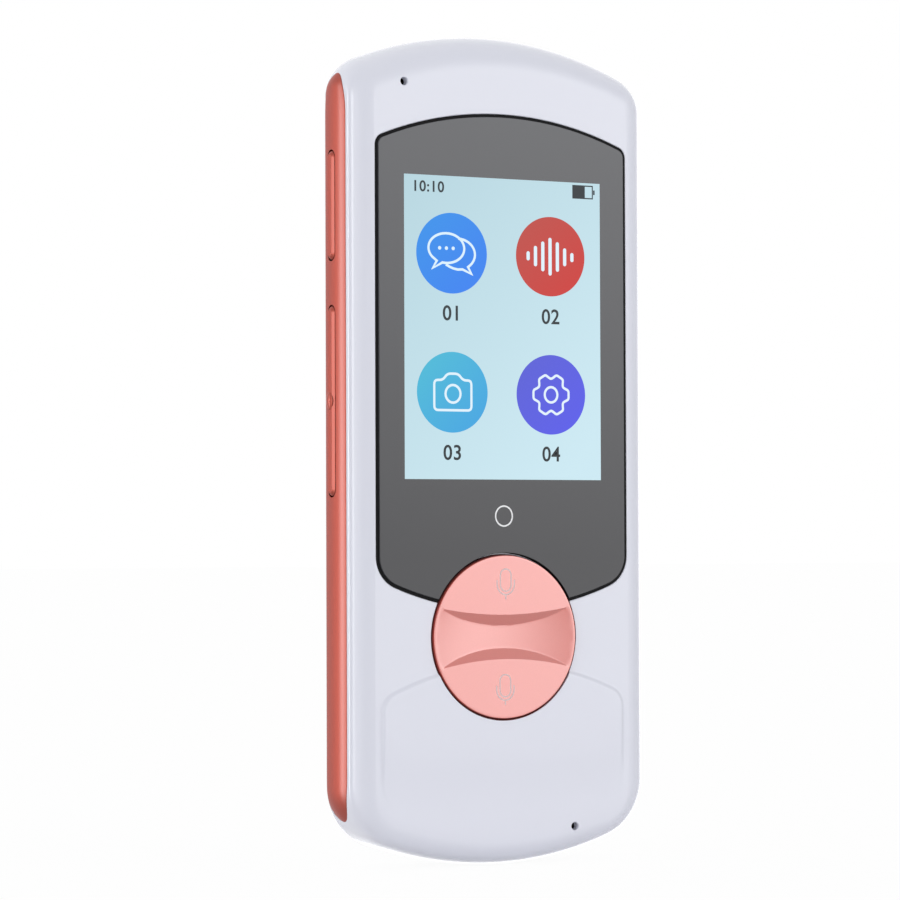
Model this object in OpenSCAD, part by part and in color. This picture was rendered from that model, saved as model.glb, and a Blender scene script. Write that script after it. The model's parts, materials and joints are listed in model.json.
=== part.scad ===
// Handheld translator: two white shell halves with rose side trims, a portrait display under an
// arched cover glass, a round rocking language dial, and two keys in the left trim.
// X runs across the front, to the right as seen from in front, Y runs to the back and Z up.
// The origin is below the middle of the part, on the level of its lowest point.

/* [Body] */
// Width across the two shell halves
body_w = 54.4; // [54:0.1:55]
// Height from the crown of the lower arch to the crown of the upper one
body_h = 135.2; // [135:0.1:136]
// Thickness from the flat front panel to the flat back
body_t = 12.5; // [12.4:0.1:14]
// Radius of the arched upper end
top_r = 63; // [58:1:80]
// Radius of the arched lower end
base_r = 62; // [58:1:80]
// Radius of the two upper corners
top_corner = 5.2; // [5:0.1:7]
// Radius of the two lower corners
base_corner = 9.9; // [8:0.1:11]
// How far the rounded shoulders reach in from the sides
side_shoulder = 3.6; // [2.5:0.1:4]
// Depth of the side shoulders on the front
front_rounding = 2.5; // [2:0.1:2.6]
// Depth of the side shoulders on the back
back_rounding = 3; // [2.6:0.1:3]
// How far the rounded upper end reaches down
top_shoulder = 6; // [4:0.1:6.2]
// How far the rounded lower end reaches up
base_shoulder = 5; // [4:0.1:7]
// Squareness of the rounded upper end: 2 is a true oval
top_power = 2; // [2:0.1:4]
// Squareness of the rounded lower end
base_power = 3.6; // [2.5:0.1:4]
// Distance from the front panel to the foremost tangent of both ends
crown_depth = 7.1; // [6.2:0.1:7.5]
// Depth of the back cover, from its seam to the flat back
cover_depth = 3; // [2.9:0.1:3.2]
// Thickness of the flat front panel
panel_t = 1.4; // [1.3:0.1:1.8]
// Thickness of the flat back wall
back_wall = 1.3; // [1:0.1:1.6]
// Thickness of the side walls and of the lower wall
side_wall = 1.8; // [1.6:0.1:2]
// Thickness of the upper wall, where the end is farthest out
top_wall = 2.7; // [2.6:0.1:3]
// Height of the lip that centres the back cover in the front shell
lip_h = 1; // [0.6:0.1:1.2]
// Thickness of that lip
lip_t = 0.7; // [0.5:0.1:1]

/* [Side trims] */
// How far the middle of the trims and keys lies behind the middle of the thickness
side_y = 1; // [0.8:0.1:1.1]
// Width of a trim across the thickness of the body
trim_w = 8; // [7.4:0.1:8.1]
// Distance from the lowest point of the body up to the lower tip of a trim
trim_base = 7.6; // [7.2:0.1:8]
// Distance from the highest point of the body down to the upper tip of a trim
trim_drop = 7.2; // [6.8:0.1:7.8]
// Length of the elliptical taper at each end of a trim
trim_taper = 7; // [4:0.5:12]
// Depth of the seat of a trim below the side of the body
trim_seat = 0.8; // [0.75:0.05:1]
// How far the crowned middle of a trim stands out from the side
trim_crown = 0.45; // [0.2:0.05:0.8]
// Width of the flat edge on either side of the crown
trim_edge = 0.4; // [0.2:0.05:0.8]
// Radius of the pegs that hold a trim
peg_r = 0.7; // [0.5:0.05:1]

/* [Cover glass] */
// Distance from the side of the body to the side of the cover glass
glass_margin = 4.25; // [4.1:0.05:4.8]
// Distance from the highest point of the body down to the upper edge of the glass
glass_drop = 13.7; // [13:0.1:14.5]
// Radius of the upper edge of the glass
glass_top_r = 59.6; // [45:0.1:100]
// Radius of the upper corners of the glass
glass_top_corner = 1.4; // [1:0.1:4]
// Height above the middle of the dial at which the lower edge of the glass would cross it
glass_over_dial = 4.75; // [3:0.05:5.5]
// Radius of the lower edge of the glass
glass_base_r = 53.6; // [45:0.1:100]
// Radius of the lower corners of the glass
glass_base_corner = 4.9; // [2:0.1:6]
// Thickness of the cover glass
glass_t = 0.9; // [0.7:0.05:1]
// How far the glass stands out from the front panel
glass_proud = 0.25; // [0.1:0.05:0.4]
// Width of the black gasket around the glass
gasket_w = 0.5; // [0.3:0.05:0.6]
// Thickness of the gasket below the glass
gasket_t = 0.2; // [0.1:0.05:0.3]

/* [Display] */
// Width of the picture
picture_w = 36.72; // [33:0.02:37]
// Height of the picture, as a share of the height of the body
picture_h_share = 0.3621; // [0.34:0.0005:0.3625]
// Height of the middle of the picture, as the same kind of share
picture_z_share = 0.6435; // [0.638:0.0005:0.649]
// Width of the dark border of the display panel at each side of the picture
panel_border = 2.1; // [1:0.1:2.2]
// The same border above the picture
panel_top_border = 2.5; // [1:0.1:3]
// The same border below the picture, where the flex is bonded
panel_base_border = 2.6; // [2.4:0.1:2.7]
// Length of that bonded ledge, which the backlight leaves free
bond_ledge = 1.4; // [1.3:0.1:1.6]
// Thickness of the display panel
lcd_t = 1; // [0.8:0.05:1.2]
// Thickness of the backlight tray behind it
backlight_t = 1.4; // [1.2:0.05:1.6]
// Width of the home touch pad under the glass
home_pad_w = 4.4; // [3:0.1:4.6]
// Where the middle of that pad lies between the hole of the dial and the display window
home_share = 0.685; // [0.6:0.005:0.7]

/* [Language dial] */
// Radius of the dial where it stands in the front panel
dial_r = 13.2; // [12:0.1:14]
// Height of the middle of the dial, as a share of the height of the body
dial_z_share = 0.2737; // [0.27:0.0005:0.277]
// Gap around the dial
dial_gap = 0.4; // [0.25:0.05:0.5]
// How far the dial stands out from the front panel
dial_proud = 0.5; // [0.3:0.05:0.8]
// Size of the chamfer on the rim of the dial
dial_chamfer = 0.3; // [0.1:0.05:0.5]
// Depth of the saddle across the dial
saddle_depth = 1.2; // [0.8:0.05:1.3]
// Distance from the rim of the dial in to the ends of the saddle
saddle_margin = 1.4; // [1.3:0.1:3]
// Distance from the middle of the dial to each lip of the saddle
saddle_lip = 3.6; // [3:0.1:4.5]
// How much farther out the lips are at their ends
saddle_bow = 1.2; // [0.8:0.1:1.6]
// Distance from the middle of the dial to the foot of each wall of the saddle
saddle_foot = 1.85; // [1.2:0.05:2.5]
// Width of the retaining flange below the panel
dial_flange = 1.3; // [0.8:0.1:1.4]
// Thickness of the retaining flange
flange_t = 0.75; // [0.6:0.05:0.8]
// Gap between the panel and the flange, for the rocking
flange_gap = 0.65; // [0.6:0.01:0.7]
// Distance from the inside of the panel to the pivot
pivot_drop = 0.4; // [0.3:0.05:0.5]
// Radius of the pivot pin of the dial
pivot_r = 0.6; // [0.5:0.05:0.65]
// Distance from the middle of the dial to each of its two switches
dial_switch_reach = 8.6; // [6:0.1:9]

/* [Side keys] */
// Width of both keys
key_w = 2.9; // [2.4:0.1:3.1]
// Length of the power key
power_l = 17.5; // [14:0.1:18]
// Height of the middle of the power key, as a share of the height of the body
power_z_share = 0.7885; // [0.786:0.0005:0.791]
// Length of the volume key
volume_l = 30.5; // [28:0.1:30.7]
// Height of the middle of the volume key, as a share of the height of the body
volume_z_share = 0.5555; // [0.553:0.0005:0.558]
// How far the keys stand out from the crown of the trim
key_proud = 0.3; // [0.2:0.05:0.5]
// Radius of the round nub in the middle of the volume key
nub_r = 1.4; // [1:0.05:1.45]
// Height of that nub
nub_h = 0.3; // [0.15:0.05:0.4]
// Travel of the power key
power_travel = 0.4; // [0.3:0.02:0.42]
// Distance from the middle of the volume key to each of its two switches
volume_switch_reach = 11; // [9:0.1:12]
// Radius of the pivot pin of the volume key
volume_pin_r = 0.3; // [0.25:0.01:0.3]

/* [Boards and battery] */
// Thickness of the plastic frame behind the display
frame_t = 0.7; // [0.6:0.05:0.8]
// Thickness of the main circuit board
board_t = 0.8; // [0.6:0.05:0.9]
// Distance from the side of the body to the edge of the main circuit board
board_margin = 4.6; // [4.4:0.1:4.8]
// Height of the shield cans on the back of the board
shield_h = 1.3; // [1:0.1:1.5]
// Thickness of the adhesive tape under the battery
tape_t = 0.2; // [0.1:0.05:0.3]
// Width of the battery
battery_w = 36; // [30:0.5:40]
// Length of the battery, as a share of the height of the body
battery_l_share = 0.429; // [0.38:0.001:0.44]
// Thickness of the battery
battery_t = 4.7; // [4:0.1:4.8]
// Height of the middle of the battery, as a share of the height of the body
battery_z_share = 0.5991; // [0.592:0.0005:0.606]
// Radius of the screws that hold the board
screw_r = 0.68; // [0.5:0.02:0.7]
// Radius of the heads of those screws
screw_head_r = 1.3; // [1:0.05:1.6]
// Height of the heads of those screws
screw_head_h = 0.6; // [0.4:0.05:0.8]
// Radius of the posts that the screws go into
post_r = 1.8; // [1.5:0.05:2.1]

/* [Sound, camera and port] */
// Width of the loudspeaker
speaker_w = 22; // [18:0.5:24]
// Height of the loudspeaker
speaker_h = 14; // [11:0.5:15]
// Thickness of the loudspeaker
speaker_t = 4; // [3:0.1:4.4]
// Height of the middle of the loudspeaker
speaker_z = 30; // [29:0.5:32]
// Radius of the holes of the loudspeaker grille
grille_hole_r = 0.6; // [0.4:0.05:0.7]
// Distance between neighbouring holes of the grille
grille_pitch = 2.2; // [1.8:0.1:2.4]
// Holes in each row of the grille
grille_columns = 9; // [3:2:9]
// Rows of the grille
grille_rows = 3; // [1:2:5]
// Radius of the microphone holes in the front
mic_hole_r = 0.65; // [0.3:0.05:0.8]
// Distance of the rear camera from the middle, across the body
camera_x = 12.5; // [11:0.1:13]
// Distance from the highest point of the body down to the middle of the rear camera
camera_drop = 17.2; // [16.7:0.1:17.7]
// Width of the camera module
camera_w = 8.5; // [7.5:0.1:8.6]
// Radius of the window over the camera
camera_window_r = 3.4; // [3:0.1:3.6]
// Radius of the metal ring around that window
camera_ring_r = 4.4; // [4.2:0.1:4.8]
// Radius of the light guide over the flash
flash_r = 1.4; // [1:0.1:1.6]
// Width of the charging port
port_w = 8.94; // [8.6:0.01:9.2]
// Thickness of the charging port
port_t = 3.16; // [3:0.01:3.3]
// Length of the charging port
port_l = 7.3; // [6.5:0.1:8]

/* [Hidden] */
$fn = 48;

// Colours
shell_white = [0.88, 0.88, 0.93];
rose = [0.80, 0.42, 0.38];
dial_rose = [0.97, 0.68, 0.65];
black_rubber = [0.05, 0.05, 0.06];
glass_grey = [0.42, 0.42, 0.43];
picture_blue = [0.76, 0.88, 0.92];
flex_orange = [0.72, 0.42, 0.14];
board_green = [0.05, 0.28, 0.20];
steel = [0.70, 0.71, 0.73];
gold = [0.85, 0.68, 0.34];
battery_silver = [0.62, 0.64, 0.68];
dark_plastic = [0.12, 0.12, 0.13];

// Facets of the lofted shell
arch_steps = 26;
corner_steps = 8;
front_steps = 14;
back_steps = 10;
// The side and upper shoulders meet the flat panel in a faint crease, short of a full quarter turn.
shoulder_sweep = 78;
// A little more than nothing, where a cut has to pass a face
cut = 0.1;
// Clearance of a part that is only laid or clipped in
clip_gap = 0.1;

// Sizes and heights that follow the size of the body
trim_l = body_h - trim_base - trim_drop;
trim_z = trim_base + trim_l / 2;
picture_h = picture_h_share * body_h;
picture_z = picture_z_share * body_h;
dial_z = dial_z_share * body_h;
power_z = power_z_share * body_h;
volume_z = volume_z_share * body_h;
battery_l = battery_l_share * body_h;
battery_z = battery_z_share * body_h;
camera_z = body_h - camera_drop;
glass_half_w = body_w / 2 - glass_margin;
glass_top = body_h - glass_drop;
glass_base = dial_z + glass_over_dial;
board_half_w = body_w / 2 - board_margin;

// Levels through the thickness. The dial is the foremost point, and the box is centred on Y.
front_y = -(body_t - dial_proud) / 2;
back_y = front_y + body_t;
seam_y = back_y - cover_depth;
panel_in_y = front_y + panel_t;
cover_in_y = back_y - back_wall;
glass_front_y = front_y - glass_proud;
glass_back_y = glass_front_y + glass_t;
ledge_y = glass_back_y + gasket_t;
lcd_back_y = glass_back_y + lcd_t;
tray_back_y = lcd_back_y + backlight_t;
board_front_y = tray_back_y + frame_t;
board_back_y = board_front_y + board_t;
shield_back_y = board_back_y + shield_h;
battery_front_y = shield_back_y + tape_t;
battery_back_y = battery_front_y + battery_t;

// The cavity is narrower behind the shoulders, by these insets and at these levels.
deep_inset = 3.2;
deep_top_inset = 4.2;
deep_base_inset = 2.4;
front_step_y = front_y + front_rounding + clip_gap;
back_step_y = back_y - back_rounding + 0.7;
smallest_corner = 0.8;
// Both ends are farthest out at this level.
crown_y = front_y + crown_depth;

// Height of the centre of a corner above or below the centre of its arch
function corner_rise(half_w, r, c) = sqrt(pow(r - c, 2) - pow(half_w - c, 2));

// Points of an arc, without as many of its first and last ones as "skip" says
function arc(centre, r, from, to, steps, skip = 0) =
    [for (i = [skip : steps - skip])
        let (a = from + (to - from) * i / steps)
        centre + r * [cos(a), sin(a)]];

// An upright outline of two straight sides and two arched ends with rounded corners
function arched_outline(half_w, top, top_r, top_c, base, base_r, base_c) =
    let (
        top_centre = top - top_r,
        top_rise = top_centre + corner_rise(half_w, top_r, top_c),
        top_turn = acos((half_w - top_c) / (top_r - top_c)),
        base_centre = base + base_r,
        base_rise = base_centre - corner_rise(half_w, base_r, base_c),
        base_turn = acos((half_w - base_c) / (base_r - base_c))
    )
    concat(
        arc([half_w - top_c, top_rise], top_c, 0, top_turn, corner_steps),
        arc([0, top_centre], top_r, top_turn, 180 - top_turn, arch_steps, 1),
        arc([top_c - half_w, top_rise], top_c, 180 - top_turn, 180, corner_steps),
        arc([base_c - half_w, base_rise], base_c, 180, 180 + base_turn, corner_steps),
        arc([0, base_centre], base_r, 180 + base_turn, 360 - base_turn, arch_steps, 1),
        arc([half_w - base_c, base_rise], base_c, -base_turn, 0, corner_steps)
    );

// The largest outline of the body, drawn in by its own distance at the sides, the top and the base
function body_outline(side, top, base) =
    arched_outline(body_w / 2 - side, body_h - top, top_r, max(top_corner - side, smallest_corner),
        base, base_r, max(base_corner - side, smallest_corner));

// How far the side of the body is drawn in at a level
function side_in(y) =
    let (
        sunk = max(0, (front_y + front_rounding - y) / front_rounding,
            (y - back_y + back_rounding) / back_rounding),
        a = asin(sunk * sin(shoulder_sweep))
    )
    side_shoulder * (1 - cos(a)) / (1 - cos(shoulder_sweep));

// How far an end of the body is drawn in at a level, along an oval of a given reach and squareness
function end_in(y, reach, power) =
    let (away = y < crown_y ? (crown_y - y) / (crown_y - front_y) : (y - crown_y) / (back_y - crown_y))
    reach * (1 - pow(max(0, 1 - pow(away, power)), 1 / power));

// The outline of the body at one level, and levels that lie closer together near the flat faces
function ring(y) =
    [for (p = body_outline(side_in(y), end_in(y, top_shoulder, top_power),
            end_in(y, base_shoulder, base_power)))
        [p.x, y, p.y]];
function eased_levels(from, to, steps) =
    [for (i = [0 : steps]) from + (to - from) * sin(90 * i / steps)];
function reversed(list) = [for (i = [len(list) - 1 : -1 : 0]) list[i]];

// The outline of the cavity, drawn in further by the same distance all round
function cavity_outline(inset) =
    body_outline(side_wall + inset, top_wall + inset, side_wall + inset);

// A solid through rings of equally many points, given from the front to the back
module loft(rings) {
    n = len(rings[0]);
    last = len(rings) - 1;
    sides = [for (i = [0 : last - 1], j = [0 : n - 1], half = [0, 1])
        let (k = (j + 1) % n)
        half == 0
            ? [i * n + j, i * n + k, (i + 1) * n + k]
            : [i * n + j, (i + 1) * n + k, (i + 1) * n + j]];
    front_cap = [for (j = [n - 1 : -1 : 0]) j];
    back_cap = [for (j = [0 : n - 1]) last * n + j];
    polyhedron(points = [for (r = rings) each r], faces = concat([front_cap], sides, [back_cap]));
}

// Extrudes an X-Z shape between two levels of Y.
module plate(y0, y1) {
    translate([0, y1, 0])
        rotate([90, 0, 0])
            linear_extrude(height = y1 - y0)
                children();
}

// Extrudes a Y-Z shape between two distances along X.
module across(x0, x1) {
    translate([x0, 0, 0])
        rotate([90, 0, 90])
            linear_extrude(height = x1 - x0)
                children();
}

// A rectangle between two corners
module area(x0, x1, z0, z1) {
    translate([x0, z0])
        square([x1 - x0, z1 - z0]);
}

// A round-ended slot along the second axis of its plane
module stadium(w, l) {
    square([w, l - w], center = true);
    for (side = [-1, 1])
        translate([0, side * (l - w) / 2])
            circle(w / 2);
}

// ---- Side trims ----
trim_seat_x = body_w / 2 - trim_seat;
trim_top_x = body_w / 2 + trim_crown;
// The trims are made from here outwards, and the body is then taken out of them.
trim_root_x = trim_seat_x - 3;
trim_clearance = 0.05;
trim_stations = 12;
// How far the first section is from the tip, as a share of one step
tip_share = 0.4;
crown_steps = 8;
nub_steps = 6;
// The flanges of the keys, and the windows that they need in the wall
power_flange_over = 0.6;
volume_flange_over = 0.5;
window_over = 0.4;
power_window_l = power_l + 2 * (power_flange_over + window_over);
volume_window_l = volume_l + 2 * (volume_flange_over + window_over);
key_gap_z = (volume_z + volume_window_l / 2 + power_z - power_window_l / 2) / 2;
// Pegs of the trims: clear of the keys, and a little longer than the wall
peg_from_tip = 8.2;
peg_zs = [trim_base + peg_from_tip, volume_z - volume_window_l / 2 - peg_from_tip, key_gap_z,
    trim_base + trim_l - peg_from_tip];
peg_in_x = body_w / 2 - side_wall - 0.2;

// Half of the width of a trim at a distance along it from its middle
function trim_half_w(along, half_w) =
    let (into = (abs(along) - (trim_l / 2 - trim_taper)) / trim_taper)
    into <= 0 ? half_w : half_w * sqrt(max(0, 1 - into * into));

// Distance from the middle to the side of the body at a height
function side_x(z) =
    let (
        over = max(0, z - (body_h - top_r + corner_rise(body_w / 2, top_r, top_corner))),
        under = max(0, base_r - corner_rise(body_w / 2, base_r, base_corner) - z)
    )
    body_w / 2 - top_corner - base_corner
        + sqrt(pow(top_corner, 2) - over * over) + sqrt(pow(base_corner, 2) - under * under);

// Distance along a trim, from its middle, of the sections in its taper, closer together at the tip
function taper_station(i) =
    let (share = (i + tip_share) / (trim_stations + tip_share))
    trim_l / 2 - trim_taper * (1 - cos(90 * share));

// Distances along a trim of all its sections, from the lower tip to the upper one
function trim_sections() =
    concat(
        [for (i = [0 : trim_stations]) -taper_station(i)],
        [for (i = [trim_stations : -1 : 0]) taper_station(i)]
    );

// One section of a trim, from the inside of the body out over its edges and its crown
function trim_section(along) =
    let (
        h = trim_half_w(along, trim_w / 2 - trim_clearance),
        z = trim_z + along,
        edge = min(trim_edge, h / 3),
        crown = trim_crown * h / (trim_w / 2),
        front = side_y - h,
        back = side_y + h
    )
    concat(
        [[trim_root_x, front, z], [side_x(z) - side_in(front), front, z]],
        [for (i = [0 : crown_steps])
            let (
                a = 180 - 180 * i / crown_steps,
                y = side_y + (h - edge) * cos(a)
            )
            [side_x(z) - side_in(y) + crown * sin(a), y, z]],
        [[side_x(z) - side_in(back), back, z], [trim_root_x, back, z]]
    );

// A solid through sections given from the base to the top
module stack(sections) {
    n = len(sections[0]);
    last = len(sections) - 1;
    sides = [for (i = [0 : last - 1], j = [0 : n - 1], half = [0, 1])
        let (k = (j + 1) % n)
        half == 0
            ? [i * n + j, (i + 1) * n + k, i * n + k]
            : [i * n + j, (i + 1) * n + j, (i + 1) * n + k]];
    base_cap = [for (j = [0 : n - 1]) j];
    top_cap = [for (j = [n - 1 : -1 : 0]) last * n + j];
    polyhedron(points = [for (s = sections) each s], faces = concat([base_cap], sides, [top_cap]));
}

// The body within the floor of the trim seats
module seat_core() {
    plate(front_y - 1, back_y + 1)
        polygon(body_outline(trim_seat, trim_seat, trim_seat));
}

// A trim on the right side, with its pegs
module trim_body() {
    difference() {
        stack([for (along = trim_sections()) trim_section(along)]);
        seat_core();
    }
    for (z = peg_zs)
        across(peg_in_x, trim_seat_x)
            translate([side_y, z])
                circle(peg_r);
}

// The outline of a trim, as seen from the side
function trim_footprint(half_w) =
    [for (end = [1, -1], i = [0 : 2 * trim_stations])
        let (a = 180 * i / (2 * trim_stations))
        [side_y + end * half_w * cos(a),
            trim_z + end * (trim_l / 2 - trim_taper + trim_taper * sin(a))]];

// What the trims take out of the sides of the shells
module trim_seats() {
    difference() {
        for (side = [-1, 1])
            across(side * body_w / 2 - top_corner, side * body_w / 2 + top_corner)
                polygon(trim_footprint(trim_w / 2));
        seat_core();
    }
}

// ---- Places of the parts inside ----
lip_in_inset = clip_gap + lip_t;
// Screws: the upper two also hold the mid frame
upper_screws = [[-12, body_h - 8.5], [12, body_h - 8.5]];
lower_screws = [[-17.5, 14], [17.5, 14]];
screw_reach = 2.6;
screw_hole_gap = 0.12;
// Microphones, from the front: upper left and lower right
upper_mic = [-18.1, body_h - 8.8];
lower_mic = [13.3, 5.8];
mic_size = [3.5, 2.65];
mic_t = 1;
mic_room = 0.8;
boot_r = 1.5;
// Display
panel_half_w = picture_w / 2 + panel_border;
panel_top = picture_z + picture_h / 2 + panel_top_border;
panel_base = picture_z - picture_h / 2 - panel_base_border;
tray_rim = 0.4;
tray_lip_drop = 0.4;
window_gap = 0.15;
flex_t = 0.15;
flex_half_w = 6;
flex_drop = 0.5;
// The flex runs at this height above the back of the board.
flex_run_h = 0.5;
display_socket_z = panel_base + 1.5;
display_socket_l = 2.6;
display_socket_h = 0.9;
// Frame, board and the wall that carries the side switches
part_inset = 0.6;
frame_base = dial_z + dial_r + 3.5;
frame_wall_x = board_half_w + 1.2;
frame_wall_t = 0.8;
frame_wall_base = volume_z - volume_l / 2 - 2.85;
frame_wall_top = power_z + power_l / 2 + 2.65;
frame_wall_back_y = side_y + 2;
// Side keys, as distances from the middle of the body
switch_w = 2.6;
switch_l = 3.5;
switch_t = 0.8;
switch_tip_t = 0.3;
switch_tip_r = 0.6;
press_gap = 0.05;
key_slot_gap = 0.15;
key_front_x = trim_top_x + key_proud;
key_flex_x = frame_wall_x + flex_t;
switch_tip_x = key_flex_x + switch_t + switch_tip_t;
nib_x = switch_tip_x + press_gap + power_travel;
nib_h = 0.15;
nib_r = 0.8;
key_flange_over = 0.45;
key_flange_half_w = key_w / 2 + key_flange_over;
key_window_half_w = key_flange_half_w + key_slot_gap;
power_flange_out_x = trim_seat_x - clip_gap;
volume_tilt = 1.4;
volume_flange_in_x = switch_tip_x + press_gap + volume_switch_reach * sin(volume_tilt);
volume_flange_t = 0.53;
volume_flange_out_x = volume_flange_in_x + volume_flange_t;
volume_pin_x = volume_flange_out_x;
volume_lug = 1.5;
// The pin of the volume key goes in from the seam, and the back cover keeps it there.
volume_pin_reach = 2.4;
volume_pin_front_y = side_y - volume_pin_reach;
// Dial
dial_front_y = front_y - dial_proud;
dial_pivot_y = panel_in_y + pivot_drop;
flange_front_y = panel_in_y + flange_gap;
flange_back_y = flange_front_y + flange_t;
bore_r = dial_r + dial_gap;
// The glass ends just outside the bore, so that the dial never rubs on it.
bite_clearance = 0.05;
glass_bite_r = bore_r + bite_clearance;
bore_top_z = dial_z + bore_r;
home_z = bore_top_z + home_share * (panel_base - flex_drop - window_gap - bore_top_z);
pivot_clearance = 0.05;
// Radial gap of a pin or a screw that its hole holds fast
hold_gap = 0.02;
post_gap = 0.3;
pivot_post_w = 2;
pivot_post_half_h = 1.6;
pivot_post_in = dial_r + dial_flange + post_gap;
pivot_post_cover = 0.75;
pivot_post_back_y = dial_pivot_y + pivot_r + pivot_post_cover;
dial_switch_gap = 0.4;
dial_switch_tip_y = flange_back_y + dial_switch_gap;
dial_switch_tip_h = 0.2;
dial_switch_tip_r = 0.9;
dial_switch_w = 3.2;
saddle_steps = 240;
saddle_half_w = dial_r - saddle_margin;
saddle_r = (pow(saddle_half_w, 2) + pow(saddle_depth, 2)) / (2 * saddle_depth);
lip_r = (pow(saddle_half_w, 2) + pow(saddle_bow, 2)) / (2 * saddle_bow);
// Back of the body
ring_flange = 0.8;
ring_lip = 0.3;
flash_x = camera_x - 9.5;
led_t = 0.7;
gasket_foam_t = 0.55;
mesh_t = 0.15;
speaker_back_y = cover_in_y - gasket_foam_t;
speaker_front_y = speaker_back_y - speaker_t;
well_gap = 0.1;
well_wall = 0.9;
well_depth = 2.6;
grille_w = (grille_columns - 1) * grille_pitch + 3 * grille_hole_r;
grille_h = (grille_rows - 1) * grille_pitch + 3 * grille_hole_r;
// Charging port
port_y = board_back_y + port_t / 2;
port_z = 0.6;
port_wall = 0.3;
port_back = 1.2;
port_tongue_w = 6.64;
port_tongue_t = 0.7;

// ---- Shells ----
// A rectangle about a point
module box_at(centre, w, h) {
    translate(centre)
        square([w, h], center = true);
}

// The hollow of a shell: wide between the shoulders and narrower behind them
module hollow(inset, wide_y0, wide_y1, deep_y0, deep_y1) {
    plate(wide_y0, wide_y1)
        polygon(cavity_outline(inset));
    plate(deep_y0, deep_y1)
        polygon(body_outline(deep_inset, deep_top_inset, deep_base_inset));
}

module front_block() {
    levels = concat(reversed(eased_levels(crown_y, front_y, front_steps)),
        [(crown_y + seam_y) / 2, seam_y]);
    loft([for (y = levels) ring(y)]);
}

module back_block() {
    loft([for (y = eased_levels(seam_y, back_y, back_steps)) ring(y)]);
}

// The outline of the cover glass, grown by a distance
module glass_area(grow) {
    polygon(arched_outline(glass_half_w + grow, glass_top + grow, glass_top_r + grow,
        glass_top_corner + grow, glass_base - grow, glass_base_r + grow, glass_base_corner + grow));
}

module dial_area(r) {
    translate([0, dial_z])
        circle(r);
}

module display_window_area() {
    area(-panel_half_w - tray_rim - window_gap, panel_half_w + tray_rim + window_gap,
        panel_base - flex_drop - window_gap, panel_top + tray_rim + window_gap);
}

module peg_holes() {
    for (side = [-1, 1], z = peg_zs)
        across(side * body_w / 2 - side_wall - 1, side * body_w / 2 + side_wall + 1)
            translate([side_y, z])
                circle(peg_r + trim_clearance);
}

// Windows in the side wall, behind the trim, for the flanges of the keys
module key_windows() {
    across(-trim_seat_x - 1, -trim_seat_x + side_wall) {
        box_at([side_y, power_z], 2 * key_window_half_w, power_window_l);
        box_at([side_y, volume_z], 2 * key_window_half_w, volume_window_l);
    }
}

module volume_pin_bore(r, y0, y1) {
    plate(y0, y1)
        translate([-volume_pin_x, volume_z])
            circle(r);
}

module front_shell() {
    color(shell_white)
        difference() {
            union() {
                difference() {
                    front_block();
                    hollow(0, front_step_y, seam_y + 1, panel_in_y, front_step_y + cut);
                    trim_seats();
                }
                for (at = upper_screws)
                    plate(panel_in_y - cut, tray_back_y)
                        translate(at)
                            circle(post_r);
                for (at = lower_screws)
                    plate(panel_in_y - cut, board_front_y)
                        translate(at)
                            circle(post_r);
                for (side = [-1, 1])
                    plate(panel_in_y - cut, pivot_post_back_y)
                        box_at([side * (pivot_post_in + pivot_post_w / 2), dial_z],
                            pivot_post_w, 2 * pivot_post_half_h);
            }
            plate(dial_front_y - 1, ledge_y)
                glass_area(gasket_w);
            plate(ledge_y - cut, panel_in_y + cut)
                display_window_area();
            plate(front_y - 1, panel_in_y + cut)
                dial_area(bore_r);
            for (at = concat(upper_screws, lower_screws))
                plate(board_back_y - screw_reach - board_t - clip_gap, board_front_y + cut)
                    translate(at)
                        circle(screw_r + hold_gap);
            across(-pivot_post_in - pivot_post_w - cut, pivot_post_in + pivot_post_w + cut)
                translate([dial_pivot_y, dial_z])
                    circle(pivot_r + hold_gap);
            for (at = [upper_mic, lower_mic])
                plate(front_y - 1, front_step_y + cut)
                    translate(at)
                        circle(mic_hole_r);
            peg_holes();
            key_windows();
            volume_pin_bore(volume_pin_r + hold_gap, volume_pin_front_y - clip_gap, seam_y + cut);
            translate([0, port_y, -1])
                linear_extrude(height = side_wall + 3)
                    rotate(90)
                        stadium(port_t + 2 * clip_gap, port_w + 2 * clip_gap);
        }
}

module grille_holes() {
    for (row = [0 : grille_rows - 1], column = [0 : grille_columns - 1])
        translate([(column - (grille_columns - 1) / 2) * grille_pitch,
            speaker_z + (row - (grille_rows - 1) / 2) * grille_pitch])
            circle(grille_hole_r);
}

module back_cover() {
    color(shell_white)
        difference() {
            union() {
                difference() {
                    back_block();
                    hollow(lip_in_inset, seam_y - 1, back_step_y, back_step_y - cut, cover_in_y);
                    trim_seats();
                }
                plate(seam_y - lip_h, seam_y + cut)
                    difference() {
                        polygon(cavity_outline(clip_gap));
                        polygon(cavity_outline(lip_in_inset));
                        area(-body_w / 2, -body_w / 2 + 6, frame_wall_base, frame_wall_top);
                    }
                plate(cover_in_y - well_depth, cover_in_y + cut)
                    difference() {
                        box_at([0, speaker_z], speaker_w + 2 * (well_gap + well_wall),
                            speaker_h + 2 * (well_gap + well_wall));
                        box_at([0, speaker_z], speaker_w + 2 * well_gap, speaker_h + 2 * well_gap);
                    }
            }
            peg_holes();
            plate(cover_in_y - cut, back_y + 1)
                translate([camera_x, camera_z])
                    circle(camera_ring_r + trim_clearance);
            plate(cover_in_y - cut, back_y + 1)
                translate([flash_x, camera_z])
                    circle(flash_r + trim_clearance);
            plate(cover_in_y - cut, back_y + 1)
                grille_holes();
        }
}

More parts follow.
